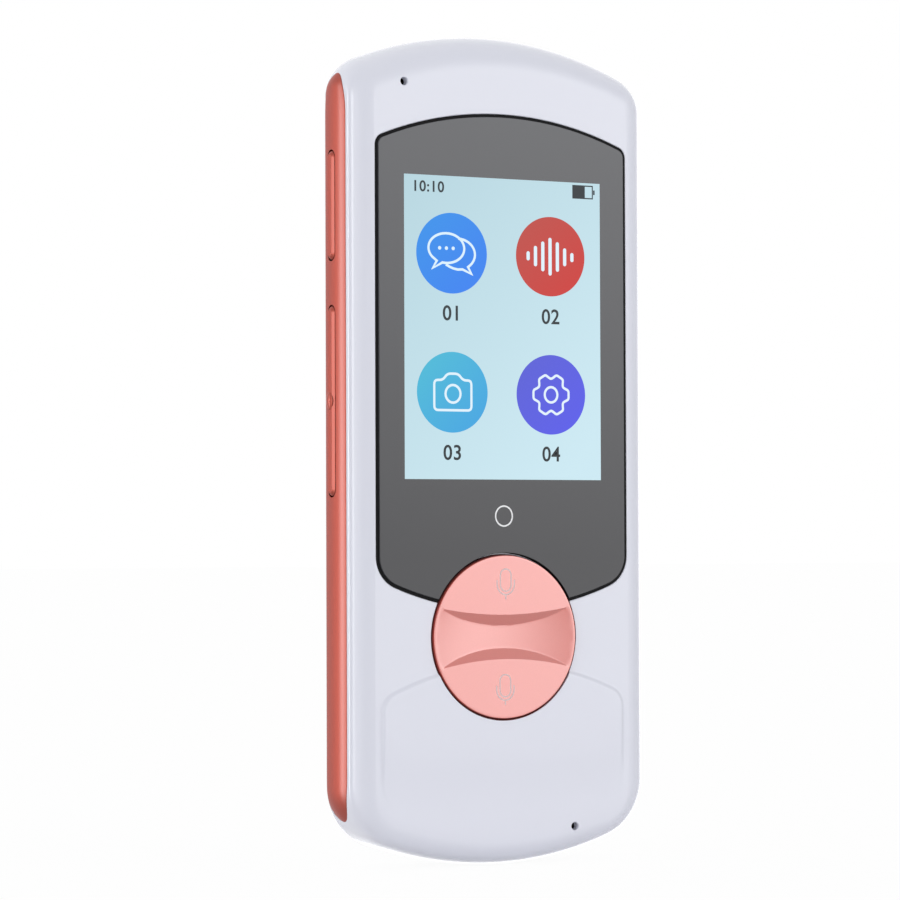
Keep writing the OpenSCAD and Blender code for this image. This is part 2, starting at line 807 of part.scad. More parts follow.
module left_trim() {
    color(rose)
        difference() {
            mirror([1, 0, 0])
                trim_body();
            across(-trim_top_x - 1, -trim_seat_x + cut) {
                translate([side_y, power_z])
                    stadium(key_w + 2 * key_slot_gap, power_l + 2 * key_slot_gap);
                translate([side_y, volume_z])
                    stadium(key_w + 2 * key_slot_gap, volume_l + 2 * key_slot_gap);
            }
        }
}

module right_trim() {
    color(rose)
        trim_body();
}

// ---- Glass and display ----
module cover_glass() {
    color(glass_grey)
        plate(glass_front_y, glass_back_y)
            difference() {
                glass_area(0);
                dial_area(glass_bite_r);
            }
}

module glass_gasket() {
    color(black_rubber) {
        plate(front_y + trim_clearance, glass_back_y)
            difference() {
                glass_area(gasket_w);
                difference() {
                    glass_area(0);
                    dial_area(glass_bite_r);
                }
                dial_area(bore_r);
            }
        plate(glass_back_y, ledge_y)
            difference() {
                glass_area(gasket_w);
                display_window_area();
                dial_area(bore_r);
                box_at([0, home_z], home_pad_w + 2 * clip_gap, home_pad_w + 2 * clip_gap);
            }
    }
}

module home_pad() {
    color(gold)
        plate(glass_back_y, ledge_y)
            box_at([0, home_z], home_pad_w, home_pad_w);
}

module display_panel() {
    color(picture_blue)
        plate(glass_back_y, lcd_back_y)
            area(-panel_half_w, panel_half_w, panel_base, panel_top);
}

module backlight_tray() {
    color(steel) {
        plate(lcd_back_y, tray_back_y)
            area(-panel_half_w - tray_rim, panel_half_w + tray_rim,
                panel_base + bond_ledge, panel_top + tray_rim);
        plate(glass_back_y + tray_lip_drop, lcd_back_y)
            difference() {
                area(-panel_half_w - tray_rim, panel_half_w + tray_rim,
                    panel_base + bond_ledge, panel_top + tray_rim);
                area(-panel_half_w, panel_half_w, panel_base, panel_top);
            }
    }
}

// The flex folds from the bonded ledge of the panel through the frame and the board to its back.
module display_flex() {
    fold_z = panel_base - flex_drop;
    run_y = board_back_y + flex_run_h;
    color(flex_orange)
        across(-flex_half_w, flex_half_w)
            polygon([
                [lcd_back_y, panel_base + bond_ledge - clip_gap],
                [lcd_back_y, fold_z],
                [run_y, fold_z],
                [run_y, display_socket_z],
                [run_y - flex_t, display_socket_z],
                [run_y - flex_t, fold_z + flex_t],
                [lcd_back_y + flex_t, fold_z + flex_t],
                [lcd_back_y + flex_t, panel_base + bond_ledge - clip_gap]
            ]);
}

module flex_slot_area() {
    area(-flex_half_w - clip_gap, flex_half_w + clip_gap,
        panel_base - flex_drop - clip_gap, panel_base - flex_drop + flex_t + clip_gap);
}

module display_connector() {
    color(dark_plastic)
        plate(board_back_y, board_back_y + display_socket_h)
            area(-flex_half_w - 1, flex_half_w + 1,
                display_socket_z, display_socket_z + display_socket_l);
}

// ---- Frame and boards ----
module mid_frame() {
    color(dark_plastic)
        difference() {
            union() {
                plate(tray_back_y, board_front_y)
                    intersection() {
                        polygon(cavity_outline(part_inset));
                        area(-frame_wall_x, frame_wall_x, frame_base, body_h);
                    }
                plate(tray_back_y, frame_wall_back_y)
                    area(-frame_wall_x, frame_wall_t - frame_wall_x, frame_wall_base, frame_wall_top);
            }
            plate(tray_back_y - cut, board_front_y + cut) {
                flex_slot_area();
                box_at(upper_mic, mic_size.x + mic_room, mic_size.y + mic_room);
                for (at = upper_screws)
                    translate(at)
                        circle(screw_r + screw_hole_gap);
            }
            across(-frame_wall_x - 1, frame_wall_t - frame_wall_x + cut)
                key_tail_area(clip_gap);
        }
}

module main_board() {
    color(board_green)
        plate(board_front_y, board_back_y)
            difference() {
                intersection() {
                    polygon(cavity_outline(part_inset));
                    area(-board_half_w, board_half_w, 0, body_h);
                }
                flex_slot_area();
                for (at = concat(upper_screws, lower_screws))
                    translate(at)
                        circle(screw_r + screw_hole_gap);
            }
}

module board_screws() {
    color(steel)
        for (at = concat(upper_screws, lower_screws))
            difference() {
                union() {
                    plate(board_back_y, board_back_y + screw_head_h)
                        translate(at)
                            circle(screw_head_r);
                    plate(board_back_y - board_t - screw_reach, board_back_y)
                        translate(at)
                            circle(screw_r);
                }
                plate(board_back_y + screw_head_h / 2, board_back_y + screw_head_h + cut) {
                    box_at(at, 2 * screw_r, screw_r / 2);
                    box_at(at, screw_r / 2, 2 * screw_r);
                }
            }
}

shield_x0 = -15;
can_sheet = 0.2;

// A pressed steel can, open towards the board
module shield_can(x0, x1, z0, z1) {
    color(steel)
        difference() {
            plate(board_back_y, shield_back_y)
                area(x0, x1, z0, z1);
            plate(board_back_y - cut, shield_back_y - can_sheet)
                area(x0 + can_sheet, x1 - can_sheet, z0 + can_sheet, z1 - can_sheet);
        }
}

module processor_shield() {
    shield_can(shield_x0, 11, battery_z - 0.276 * battery_l, battery_z + 0.104 * battery_l);
}

module radio_shield() {
    shield_can(shield_x0, 5, battery_z + 0.172 * battery_l, battery_z + 0.448 * battery_l);
}

module battery() {
    color(battery_silver)
        plate(battery_front_y, battery_back_y)
            box_at([0, battery_z], battery_w, battery_l);
}

module battery_tape() {
    color(black_rubber)
        plate(shield_back_y, battery_front_y)
            area(shield_x0 + 2, 3, battery_z - 0.241 * battery_l, battery_z + 0.414 * battery_l);
}

lead_x0 = -13;
lead_x1 = -7;
lead_t = 0.3;
lead_out = 1.3;
lead_depth = 1.5;
lead_socket_h = 1.2;
lead_z = battery_z + battery_l / 2 + lead_out;
lead_socket_y = board_back_y + lead_socket_h;

module battery_lead() {
    lead_y = battery_front_y + lead_depth;
    color(flex_orange)
        across(lead_x0, lead_x1)
            polygon([
                [lead_y, lead_z - lead_out],
                [lead_y, lead_z],
                [lead_socket_y, lead_z],
                [lead_socket_y, lead_z + lead_t],
                [lead_y + lead_t, lead_z + lead_t],
                [lead_y + lead_t, lead_z - lead_out]
            ]);
}

module battery_socket() {
    color(dark_plastic)
        plate(board_back_y, lead_socket_y)
            area(lead_x0 - 0.5, lead_x1 + 0.5, lead_z - 0.8, lead_z + 1.3);
}

// ---- Sound ----
cone_depth = 0.4;
cone_rim = 1.6;
speaker_pad_w = 1.6;
speaker_pad_l = 2.4;

module speaker() {
    color(dark_plastic)
        difference() {
            plate(speaker_front_y, speaker_back_y)
                box_at([0, speaker_z], speaker_w, speaker_h);
            plate(speaker_back_y - cone_depth, speaker_back_y + cut)
                translate([0, speaker_z])
                    rotate(90)
                        stadium(speaker_h - 2 * cone_rim, speaker_w - 2 * cone_rim);
        }
}

module speaker_gasket() {
    color(black_rubber)
        plate(speaker_back_y, cover_in_y)
            difference() {
                box_at([0, speaker_z], speaker_w, speaker_h);
                box_at([0, speaker_z], grille_w, grille_h);
            }
}

module speaker_mesh() {
    color(black_rubber)
        plate(cover_in_y - mesh_t, cover_in_y)
            box_at([0, speaker_z], grille_w, grille_h);
}

module speaker_contacts() {
    color(gold)
        for (side = [-1, 1])
            plate(board_back_y, speaker_front_y)
                box_at([side * (speaker_w / 2 - 3), speaker_z], speaker_pad_w, speaker_pad_l);
}

module microphones() {
    color(gold)
        plate(board_front_y - mic_t, board_front_y)
            for (at = [upper_mic, lower_mic])
                box_at(at, mic_size.x, mic_size.y);
}

module microphone_boots() {
    color(black_rubber)
        for (at = [upper_mic, lower_mic])
            plate(panel_in_y, board_front_y - mic_t)
                translate(at)
                    difference() {
                        circle(boot_r);
                        circle(mic_hole_r);
                    }
}

// ---- Camera and flash ----
camera_body_h = 3.8;
camera_lens_h = 1.4;
camera_lens_r = 2.2;
// The barrel of the camera stays this much inside the window, and the ring reaches this far under it.
camera_barrel_gap = 0.2;
camera_seat_w = 0.5;
flash_flange = 0.6;
flash_flange_t = 0.4;
led_w = 2;

module rear_camera() {
    body_back_y = board_back_y + camera_body_h;
    color(dark_plastic)
        difference() {
            union() {
                plate(board_back_y, body_back_y)
                    box_at([camera_x, camera_z], camera_w, camera_w);
                plate(body_back_y - cut, cover_in_y - ring_lip - clip_gap)
                    translate([camera_x, camera_z])
                        circle(camera_window_r - camera_barrel_gap);
            }
            plate(body_back_y + camera_lens_h, cover_in_y)
                translate([camera_x, camera_z])
                    circle(camera_lens_r);
        }
}

module camera_ring() {
    color(rose)
        translate([camera_x, 0, camera_z])
            difference() {
                union() {
                    plate(cover_in_y - ring_lip, cover_in_y)
                        circle(camera_ring_r + ring_flange);
                    plate(cover_in_y - ring_lip, back_y - press_gap)
                        circle(camera_ring_r);
                }
                plate(cover_in_y - 1, back_y)
                    circle(camera_window_r - camera_seat_w);
                plate(cover_in_y + ring_lip, back_y)
                    circle(camera_window_r + trim_clearance);
            }
}

module camera_window() {
    color(black_rubber)
        plate(cover_in_y + ring_lip, back_y - clip_gap)
            translate([camera_x, camera_z])
                circle(camera_window_r);
}

module flash_light_guide() {
    color([0.93, 0.92, 0.85])
        translate([flash_x, 0, camera_z]) {
            plate(board_back_y + led_t, back_y - clip_gap)
                circle(flash_r);
            plate(cover_in_y - flash_flange_t, cover_in_y)
                circle(flash_r + flash_flange);
        }
}

module flash_led() {
    color([0.95, 0.86, 0.35])
        plate(board_back_y, board_back_y + led_t)
            box_at([flash_x, camera_z], led_w, led_w);
}

// ---- Port and antenna ----
module usb_port() {
    color(steel)
        translate([0, port_y, port_z])
            difference() {
                linear_extrude(height = port_l)
                    rotate(90)
                        stadium(port_t, port_w);
                translate([0, 0, -cut])
                    linear_extrude(height = port_l - port_back)
                        difference() {
                            rotate(90)
                                stadium(port_t - 2 * port_wall, port_w - 2 * port_wall);
                            square([port_tongue_w, port_tongue_t], center = true);
                        }
            }
}

antenna_half_w = 14;
antenna_t = 0.2;
antenna_gap = 0.2;
antenna_reach = 8;

module wifi_antenna() {
    color(gold)
        plate(board_back_y + antenna_gap, seam_y - lip_h - antenna_gap)
            intersection() {
                difference() {
                    polygon(cavity_outline(0));
                    polygon(cavity_outline(antenna_t));
                }
                area(-antenna_half_w, antenna_half_w, body_h - antenna_reach, body_h);
            }
}

module antenna_contact() {
    color(gold)
        plate(board_back_y, board_back_y + 1)
            area(-0.75, 0.75, body_h - top_wall - 2.6, body_h - top_wall - antenna_t - press_gap);
}

// ---- Language dial ----
// One lip of the saddle: the cone that the saddle stops at
module saddle_lip_cone(side) {
    slope = (saddle_lip - saddle_foot) / saddle_depth;
    over = 0.5;
    translate([0, dial_front_y + saddle_depth + over, dial_z + side * (saddle_lip + lip_r)])
        rotate([90, 0, 0])
            cylinder(h = saddle_depth + 2 * over, r1 = lip_r + slope * (saddle_depth + over),
                r2 = lip_r - slope * over, $fn = saddle_steps);
}

module saddle_cut() {
    difference() {
        translate([0, dial_front_y + saddle_depth - saddle_r, dial_z - dial_r / 2])
            cylinder(h = dial_r, r = saddle_r, $fn = saddle_steps);
        for (side = [-1, 1])
            saddle_lip_cone(side);
    }
}

module language_dial() {
    color(dial_rose)
        difference() {
            translate([0, 0, dial_z])
                rotate([90, 0, 0])
                    rotate_extrude()
                        polygon([
                            [0, -flange_back_y],
                            [dial_r + dial_flange, -flange_back_y],
                            [dial_r + dial_flange, -flange_front_y],
                            [dial_r, -flange_front_y],
                            [dial_r, -dial_front_y - dial_chamfer],
                            [dial_r - dial_chamfer, -dial_front_y],
                            [0, -dial_front_y]
                        ]);
            saddle_cut();
            across(-dial_r - dial_flange - 1, dial_r + dial_flange + 1)
                translate([dial_pivot_y, dial_z])
                    circle(pivot_r + pivot_clearance);
        }
}

module dial_pivot_pin() {
    color(steel)
        across(-pivot_post_in - pivot_post_w + clip_gap, pivot_post_in + pivot_post_w - clip_gap)
            translate([dial_pivot_y, dial_z])
                circle(pivot_r);
}

module dial_switches() {
    color(steel)
        for (side = [-1, 1]) {
            plate(dial_switch_tip_y + dial_switch_tip_h, board_front_y)
                box_at([0, dial_z + side * dial_switch_reach], dial_switch_w, dial_switch_w);
            plate(dial_switch_tip_y, dial_switch_tip_y + dial_switch_tip_h + cut)
                translate([0, dial_z + side * dial_switch_reach])
                    circle(dial_switch_tip_r);
        }
}

// ---- Side keys ----
module power_key() {
    color(rose)
        mirror([1, 0, 0]) {
            across(power_flange_out_x - cut, key_front_x)
                translate([side_y, power_z])
                    stadium(key_w, power_l);
            across(nib_x + nib_h, power_flange_out_x)
                box_at([side_y, power_z], 2 * key_flange_half_w, power_l + 2 * power_flange_over);
            across(nib_x, nib_x + nib_h + cut)
                translate([side_y, power_z])
                    circle(nib_r);
        }
}

module volume_nub() {
    dome_r = (nub_r * nub_r + nub_h * nub_h) / (2 * nub_h);
    edge = asin(nub_r / dome_r);
    translate([key_front_x, side_y, volume_z])
        rotate([0, 90, 0])
            rotate_extrude()
                polygon(concat(
                    [[0, -cut], [nub_r, -cut]],
                    [for (i = [nub_steps : -1 : 0])
                        let (a = edge * i / nub_steps)
                        [dome_r * sin(a), nub_h - dome_r * (1 - cos(a))]]
                ));
}

module volume_key() {
    color(rose)
        difference() {
            mirror([1, 0, 0]) {
                across(volume_flange_in_x, key_front_x)
                    translate([side_y, volume_z])
                        stadium(key_w, volume_l);
                across(volume_flange_in_x, volume_flange_out_x)
                    box_at([side_y, volume_z], 2 * key_flange_half_w,
                        volume_l + 2 * volume_flange_over);
                across(volume_flange_in_x, trim_seat_x - press_gap)
                    box_at([side_y, volume_z], 2 * key_flange_half_w, 2 * volume_lug);
                volume_nub();
            }
            volume_pin_bore(volume_pin_r + pivot_clearance, volume_pin_front_y, seam_y);
        }
}

module volume_pivot_pin() {
    color(steel)
        volume_pin_bore(volume_pin_r, volume_pin_front_y, seam_y - press_gap);
}

module side_switches() {
    color(steel)
        mirror([1, 0, 0])
            for (z = [power_z, volume_z + volume_switch_reach, volume_z - volume_switch_reach]) {
                across(key_flex_x, key_flex_x + switch_t)
                    box_at([side_y, z], switch_w, switch_l);
                across(key_flex_x + switch_t - cut, switch_tip_x)
                    translate([side_y, z])
                        circle(switch_tip_r);
            }
}

key_tail_h = 0.35;
key_tail_y = board_back_y + key_tail_h;
key_tail_z = key_gap_z;
key_tail_half_w = 1.5;
key_flex_half_w = 1.6;
key_socket_w = 2;
key_socket_h = 0.7;
key_socket_x = board_half_w - 1;

// Where the tail of the side flex passes through the wall of the frame
module key_tail_area(grow) {
    area(key_tail_y - grow, key_tail_y + flex_t + grow,
        key_tail_z - key_tail_half_w - grow, key_tail_z + key_tail_half_w + grow);
}

module side_key_flex() {
    color(flex_orange)
        mirror([1, 0, 0]) {
            across(frame_wall_x, key_flex_x)
                area(key_tail_y, side_y + key_flex_half_w, frame_wall_base + 3, frame_wall_top - 2);
            across(key_socket_x, key_flex_x)
                key_tail_area(0);
        }
}

module key_connector() {
    color(dark_plastic)
        plate(board_back_y, board_back_y + key_socket_h)
            area(-key_socket_x, key_socket_w - key_socket_x,
                key_tail_z - key_socket_w, key_tail_z + key_socket_w);
}

front_shell();
back_cover();
left_trim();
right_trim();
cover_glass();
glass_gasket();
display_panel();
backlight_tray();
display_flex();
display_connector();
home_pad();
mid_frame();
main_board();
board_screws();
processor_shield();
radio_shield();
battery();
battery_tape();
battery_lead();
battery_socket();
speaker();
speaker_gasket();
speaker_mesh();
speaker_contacts();
rear_camera();
camera_ring();
camera_window();
flash_light_guide();
flash_led();
microphones();
microphone_boots();
usb_port();
wifi_antenna();
antenna_contact();
language_dial();
dial_pivot_pin();
dial_switches();
power_key();
volume_key();
volume_pivot_pin();
side_switches();
side_key_flex();
key_connector();
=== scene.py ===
import bpy
import bmesh
import json
import math
import numpy as np
from mathutils import Matrix, Vector
from mathutils.geometry import delaunay_2d_cdt


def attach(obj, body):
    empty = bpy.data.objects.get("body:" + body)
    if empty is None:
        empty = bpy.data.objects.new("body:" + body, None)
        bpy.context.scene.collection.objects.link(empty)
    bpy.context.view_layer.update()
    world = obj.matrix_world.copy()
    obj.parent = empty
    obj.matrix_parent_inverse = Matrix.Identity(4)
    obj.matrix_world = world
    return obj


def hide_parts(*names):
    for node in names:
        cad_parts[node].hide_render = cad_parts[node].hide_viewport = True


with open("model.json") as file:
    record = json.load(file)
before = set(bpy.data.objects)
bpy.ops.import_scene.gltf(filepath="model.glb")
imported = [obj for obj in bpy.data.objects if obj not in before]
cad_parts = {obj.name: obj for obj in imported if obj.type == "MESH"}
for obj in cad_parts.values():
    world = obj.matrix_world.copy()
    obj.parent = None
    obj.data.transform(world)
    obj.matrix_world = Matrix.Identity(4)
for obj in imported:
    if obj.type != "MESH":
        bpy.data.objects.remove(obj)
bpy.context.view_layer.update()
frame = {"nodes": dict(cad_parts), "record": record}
nodes = frame["nodes"]

MM = 0.001

# ---- Sizes of the body in millimetres: the same as those of the solids ----
body_w, body_h = 54.4, 135.2
top_r, base_r = 63.0, 62.0
top_corner, base_corner = 5.2, 9.9
side_shoulder, front_rounding, back_rounding = 3.6, 2.5, 3.0
top_shoulder, base_shoulder = 6.0, 5.0
top_power, base_power = 2.0, 3.6
shoulder_sweep = math.radians(78)
front_y, back_y, seam_y = -6.0, 6.5, 3.5
crown_y = front_y + 7.1
panel_in_y = front_y + 1.4
cover_in_y = back_y - 1.3
ledge_y, board_front_y, tray_back_y = -5.15, -2.25, -2.95
side_wall, top_wall = 1.8, 2.7
glass_front_y, glass_back_y, gasket_w = -6.25, -5.35, 0.5
picture_w, picture_h, picture_z = 36.72, 48.956, 87.001
dial_r, dial_z, dial_front_y = 13.2, 37.004, -6.5
dial_pivot_y, flange_r = -4.2, 14.5
glass_bite_r = 13.65
side_y = 1.0
trim_w, trim_base, trim_top, trim_taper = 8.0, 7.6, 128.0, 7.0
trim_seat, trim_crown, trim_gap = 0.8, 0.45, 0.2
trim_mid, trim_half_l = (trim_top + trim_base) / 2, (trim_top - trim_base) / 2
key_w, key_y, key_front_x = 2.2, 1.3, 27.95
power_z, power_l = 106.605, 17.5
volume_z, volume_l = 75.104, 30.5
upper_mic, lower_mic = (-18.1, 126.4), (13.3, 5.8)
camera_x, camera_z, camera_ring_r, camera_window_r = 12.5, 118.0, 4.4, 3.4
flash_x, flash_r = 3.0, 1.4
speaker_z = 30.0
port_w, port_t, port_y = 8.94, 3.16, 0.13

# ---- Sizes of the finer forms ----
edge_bevel = 0.12
window_bevel = 0.08
glass_bevel = 0.04
bore_in_r = 13.42
bore_lead_r = bore_in_r + 0.16
panel_rise, panel_step = 0.36, 0.8
slot_gap = 0.5
nub_half_w, nub_half_l, nub_rise = 1.0, 1.45, 0.3
beyond = 8.0


# ---- Meshes ----
def place(name, data):
    obj = bpy.data.objects.new(name, data)
    bpy.context.scene.collection.objects.link(obj)
    return obj


def piece(name, points, faces):
    """A mesh object from points in millimetres."""
    mesh = bpy.data.meshes.new(name)
    mesh.from_pydata([tuple(float(c) * MM for c in p) for p in points], [], [list(f) for f in faces])
    obj = place(name, mesh)
    tidy_normals(obj)
    return obj


def tidy_normals(obj, merge=2e-7):
    """Merges the doubles of a closed mesh and turns its faces outwards."""
    bm = bmesh.new()
    bm.from_mesh(obj.data)
    bmesh.ops.remove_doubles(bm, verts=bm.verts, dist=merge)
    bmesh.ops.recalc_face_normals(bm, faces=bm.faces)
    bm.to_mesh(obj.data)
    bm.free()


def plain_mesh(obj):
    """The evaluated object as a new mesh."""
    bpy.context.view_layer.update()
    graph = bpy.context.evaluated_depsgraph_get()
    return bpy.data.meshes.new_from_object(obj.evaluated_get(graph))


def baked(obj):
    """The object with its modifiers made part of its mesh."""
    mesh, old = plain_mesh(obj), obj.data
    obj.modifiers.clear()
    obj.data = mesh
    mesh.name = obj.name
    if old.users == 0:
        bpy.data.meshes.remove(old)
    return obj


def join_shape(target, tool, how="DIFFERENCE"):
    """Cuts a tool out of a piece, or adds it, and removes the tool."""
    cut = target.modifiers.new("cut", "BOOLEAN")
    cut.operation = how
    cut.solver = "EXACT"
    cut.object = tool
    baked(target)
    bpy.data.objects.remove(tool)
    return target


def soften(obj, angle=32.0):
    """Smooth shading that stops at the edges, with the large faces kept flat."""
    tidy_normals(obj)
    mesh = obj.data
    mesh.polygons.foreach_set("use_smooth", [True] * len(mesh.polygons))
    mesh.set_sharp_from_angle(angle=math.radians(angle))
    weighted = obj.modifiers.new("weighted", "WEIGHTED_NORMAL")
    weighted.keep_sharp = True
    weighted.weight = 70
    return baked(obj)


def loft_faces(count, n, first_cap=True, last_cap=True):
    faces = []
    for i in range(count - 1):
        for j in range(n):
            k = (j + 1) % n
            faces.append((i * n + j, i * n + k, (i + 1) * n + k, (i + 1) * n + j))
    if first_cap:
        faces.append(list(range(n - 1, -1, -1)))
    if last_cap:
        faces.append([(count - 1) * n + j for j in range(n)])
    return faces


def loft(name, rings):
    points = [p for ring in rings for p in ring]
    return piece(name, points, loft_faces(len(rings), len(rings[0])))


def at_y(outline, y):
    return [(x, y, z) for x, z in outline]


def at_x(outline, x):
    return [(x, y, z) for y, z in outline]


def plate(name, outline, y0, y1):
    return loft(name, [at_y(outline, y) for y in (y0, y1)])


def across(name, outline, x0, x1):
    return loft(name, [at_x(outline, x) for x in (x0, x1)])


def circle(cx, cz, r, n=96):
    turns = [2 * math.pi * i / n for i in range(n)]
    return [(cx + r * math.cos(a), cz + r * math.sin(a)) for a in turns]


def rectangle(x0, x1, z0, z1):
    return [(x0, z0), (x1, z0), (x1, z1), (x0, z1)]


def centred(cx, cz, half_w, half_l):
    return rectangle(cx - half_w, cx + half_w, cz - half_l, cz + half_l)


def stadium(cy, cz, w, l, n=24):
    """A slot's outline, with half round ends."""
    r, rise = w / 2, (l - w) / 2
    turns = [math.pi * i / n for i in range(n + 1)]
    return [(cy + end * r * math.cos(a), cz + end * (rise + r * math.sin(a)))
            for end in (1, -1) for a in turns]


def turned(name, profile, cx, cz, n=96):
    """A solid of revolution about an axis along Y, from (radius, level) pairs."""
    return loft(name, [at_y(circle(cx, cz, r, n), y) for r, y in profile])


# ---- The outline of the body ----
def corner_rise(half_w, r, c):
    """How far the centre of a corner of radius c lies above that of the end arc of radius r."""
    return math.sqrt((r - c) ** 2 - (half_w - c) ** 2)


def arc(cx, cz, r, start, end, steps, skip=0):
    turns = [start + (end - start) * i / steps for i in range(skip, steps - skip + 1)]
    return [(cx + r * math.cos(a), cz + r * math.sin(a)) for a in turns]


def arched_outline(half_w, top, r1, c1, base, r2, c2, arch=72, corner=14, side=26):
    """Two straight sides between two arched ends of radius r1 and r2, with corners of radius c1 and c2."""
    up, low = top - r1, base + r2
    rise1, rise2 = up + corner_rise(half_w, r1, c1), low - corner_rise(half_w, r2, c2)
    a = math.acos((half_w - c1) / (r1 - c1))
    b = math.acos((half_w - c2) / (r2 - c2))
    pi = math.pi
    heights = [rise1 + (rise2 - rise1) * i / side for i in range(1, side)]
    return (arc(half_w - c1, rise1, c1, 0, a, corner) + arc(0, up, r1, a, pi - a, arch, 1)
            + arc(c1 - half_w, rise1, c1, pi - a, pi, corner) + [(-half_w, z) for z in heights]
            + arc(c2 - half_w, rise2, c2, pi, pi + b, corner) + arc(0, low, r2, pi + b, 2 * pi - b, arch, 1)
            + arc(half_w - c2, rise2, c2, -b, 0, corner) + [(half_w, z) for z in reversed(heights)])


def body_outline(side, top, base, **steps):
    return arched_outline(body_w / 2 - side, body_h - top, top_r, max(top_corner - side, 0.8),
                          base, base_r, max(base_corner - side, 0.8), **steps)


def side_in(y):
    """How far the rounded sides lie in at a level."""
    to_front = (front_y + front_rounding - y) / front_rounding
    to_back = (y - back_y + back_rounding) / back_rounding
    a = math.asin(min(1.0, max(0.0, to_front, to_back)) * math.sin(shoulder_sweep))
    return side_shoulder * (1 - math.cos(a)) / (1 - math.cos(shoulder_sweep))


def end_in(y, reach, power):
    """How far the rounded ends lie in at a level."""
    away = (crown_y - y) / (crown_y - front_y) if y < crown_y else (y - crown_y) / (back_y - crown_y)
    return reach * (1 - max(0.0, 1 - away ** power) ** (1 / power))


def ring(y, shrink=0.0):
    outline = body_outline(side_in(y) + shrink, end_in(y, top_shoulder, top_power) + shrink,
                           end_in(y, base_shoulder, base_power) + shrink)
    return at_y(outline, y)


def cavity(inset):
    return body_outline(side_wall + inset, top_wall + inset, side_wall + inset)


def deep_cavity():
    return body_outline(3.2, 4.2, 2.4)


def glass_outline(grow, **steps):
    return arched_outline(22.95 + grow, 121.5 + grow, 59.6 + grow, 1.4 + grow,
                          41.754 - grow, 53.6 + grow, 4.9 + grow, **steps)


def eased(start, end, steps):
    """Steps that grow shorter toward their end."""
    return [start + (end - start) * math.sin(math.pi / 2 * i / steps) for i in range(steps + 1)]


# ---- Surfaces with relief, from flat outlines ----
def inside(points, loop):
    """Which points lie inside a closed outline."""
    p, q = np.asarray(loop), np.roll(np.asarray(loop), -1, axis=0)
    x, z = points[:, :1], points[:, 1:]
    crosses = (p[:, 1] > z) != (q[:, 1] > z)
    rise = np.where(q[:, 1] == p[:, 1], 1e-12, q[:, 1] - p[:, 1])
    return ((crosses & (x < (q[:, 0] - p[:, 0]) * (z - p[:, 1]) / rise + p[:, 0])).sum(1) % 2) == 1


def depth_inside(points, loop):
    """Distance from points to a closed outline, positive inside it."""
    p = np.asarray(loop, float)
    d = np.roll(p, -1, axis=0) - p
    found = np.full(len(points), 1e9)
    for a, e in zip(p, d):
        t = np.clip(((points - a) @ e) / max(e @ e, 1e-12), 0, 1)
        found = np.minimum(found, np.hypot(*(points - a - t[:, None] * e).T))
    return np.where(inside(points, loop), found, -found)


def smooth_step(t):
    t = np.clip(t, 0, 1)
    return t * t * (3 - 2 * t)


def relief(outer, loops, extra, height):
    """Points and triangles of a sheet within an outline, with edges along the given lines."""
    verts, edges = [], []
    for loop, closed in [(outer, True)] + loops:
        first = len(verts)
        verts += [Vector(p) for p in loop]
        last = len(verts) - 1
        edges += [(i, i + 1) for i in range(first, last)]
        if closed:
            edges.append((last, first))
    verts += [Vector(p) for p in extra]
    found, _, faces, *_ = delaunay_2d_cdt(verts, edges, [], 0, 1e-6)
    flat = np.array([tuple(v) for v in found])
    middle = np.array([flat[list(f)].mean(0) for f in faces])
    keep = inside(middle, outer)
    return flat, [f for f, k in zip(faces, keep) if k], height(flat)


# ---- Node trees ----
FLOAT, COLOUR, VECTOR = "NodeSocketFloat", "NodeSocketColor", "NodeSocketVector"
GREY = (0.5, 0.5, 0.5, 1.0)


def put(tree, kind, inputs, **settings):
    """A node in a tree. Each input is given as a value, or as the socket that feeds it."""
    node = tree.nodes.new(kind)
    for label, value in settings.items():
        setattr(node, label, value)
    for label, value in inputs.items():
        if isinstance(value, bpy.types.NodeSocket):
            tree.links.new(value, node.inputs[label])
        else:
            node.inputs[label].default_value = value
    return node


def math_node(tree, operation, *values):
    return put(tree, "ShaderNodeMath", dict(enumerate(values)), operation=operation).outputs[0]


def vector_node(tree, operation, *values, output="Vector"):
    return put(tree, "ShaderNodeVectorMath", dict(enumerate(values)), operation=operation).outputs[output]


def mix_node(tree, factor, a, b, kind="FLOAT"):
    return put(tree, "ShaderNodeMix", {"Factor": factor, "A": a, "B": b}, data_type=kind).outputs["Result"]


def noise_node(tree, where, scale, detail):
    noise = put(tree, "ShaderNodeTexNoise", {"Vector": where, "Scale": scale, "Detail": detail})
    return noise.outputs["Fac"]


def object_place(tree):
    return put(tree, "ShaderNodeTexCoord", {}).outputs["Object"]


def effect(name, inputs, outputs):
    """A shader node group with named sockets, and the sockets inside it."""
    group = bpy.data.node_groups.new(name, "ShaderNodeTree")
    for label, kind, value in inputs:
        group.interface.new_socket(name=label, in_out="INPUT", socket_type=kind).default_value = value
    for label, kind in outputs:
        group.interface.new_socket(name=label, in_out="OUTPUT", socket_type=kind)
    start, end = put(group, "NodeGroupInput", {}), put(group, "NodeGroupOutput", {})
    return group, start.outputs, end.inputs


# ---- Finishes ----
def paint(r, g, b):
    """A colour on the 0 to 255 scale of a screen, as a linear one."""
    def straight(c):
        c = c / 255
        return c / 12.92 if c <= 0.04045 else ((c + 0.055) / 1.055) ** 2.4
    return (straight(r), straight(g), straight(b), 1.0)


def surface_effect(name, sizes):
    """A group for a surface of two near colours, whose pattern has sizes of its own."""
    inputs = [("Colour", COLOUR, GREY), ("Second Colour", COLOUR, GREY)] + sizes
    inputs += [("Roughness", FLOAT, 0.3), ("Roughness Spread", FLOAT, 0.1)]
    return effect(name, inputs, [("Colour", COLOUR), ("Roughness", FLOAT), ("Height", FLOAT)])


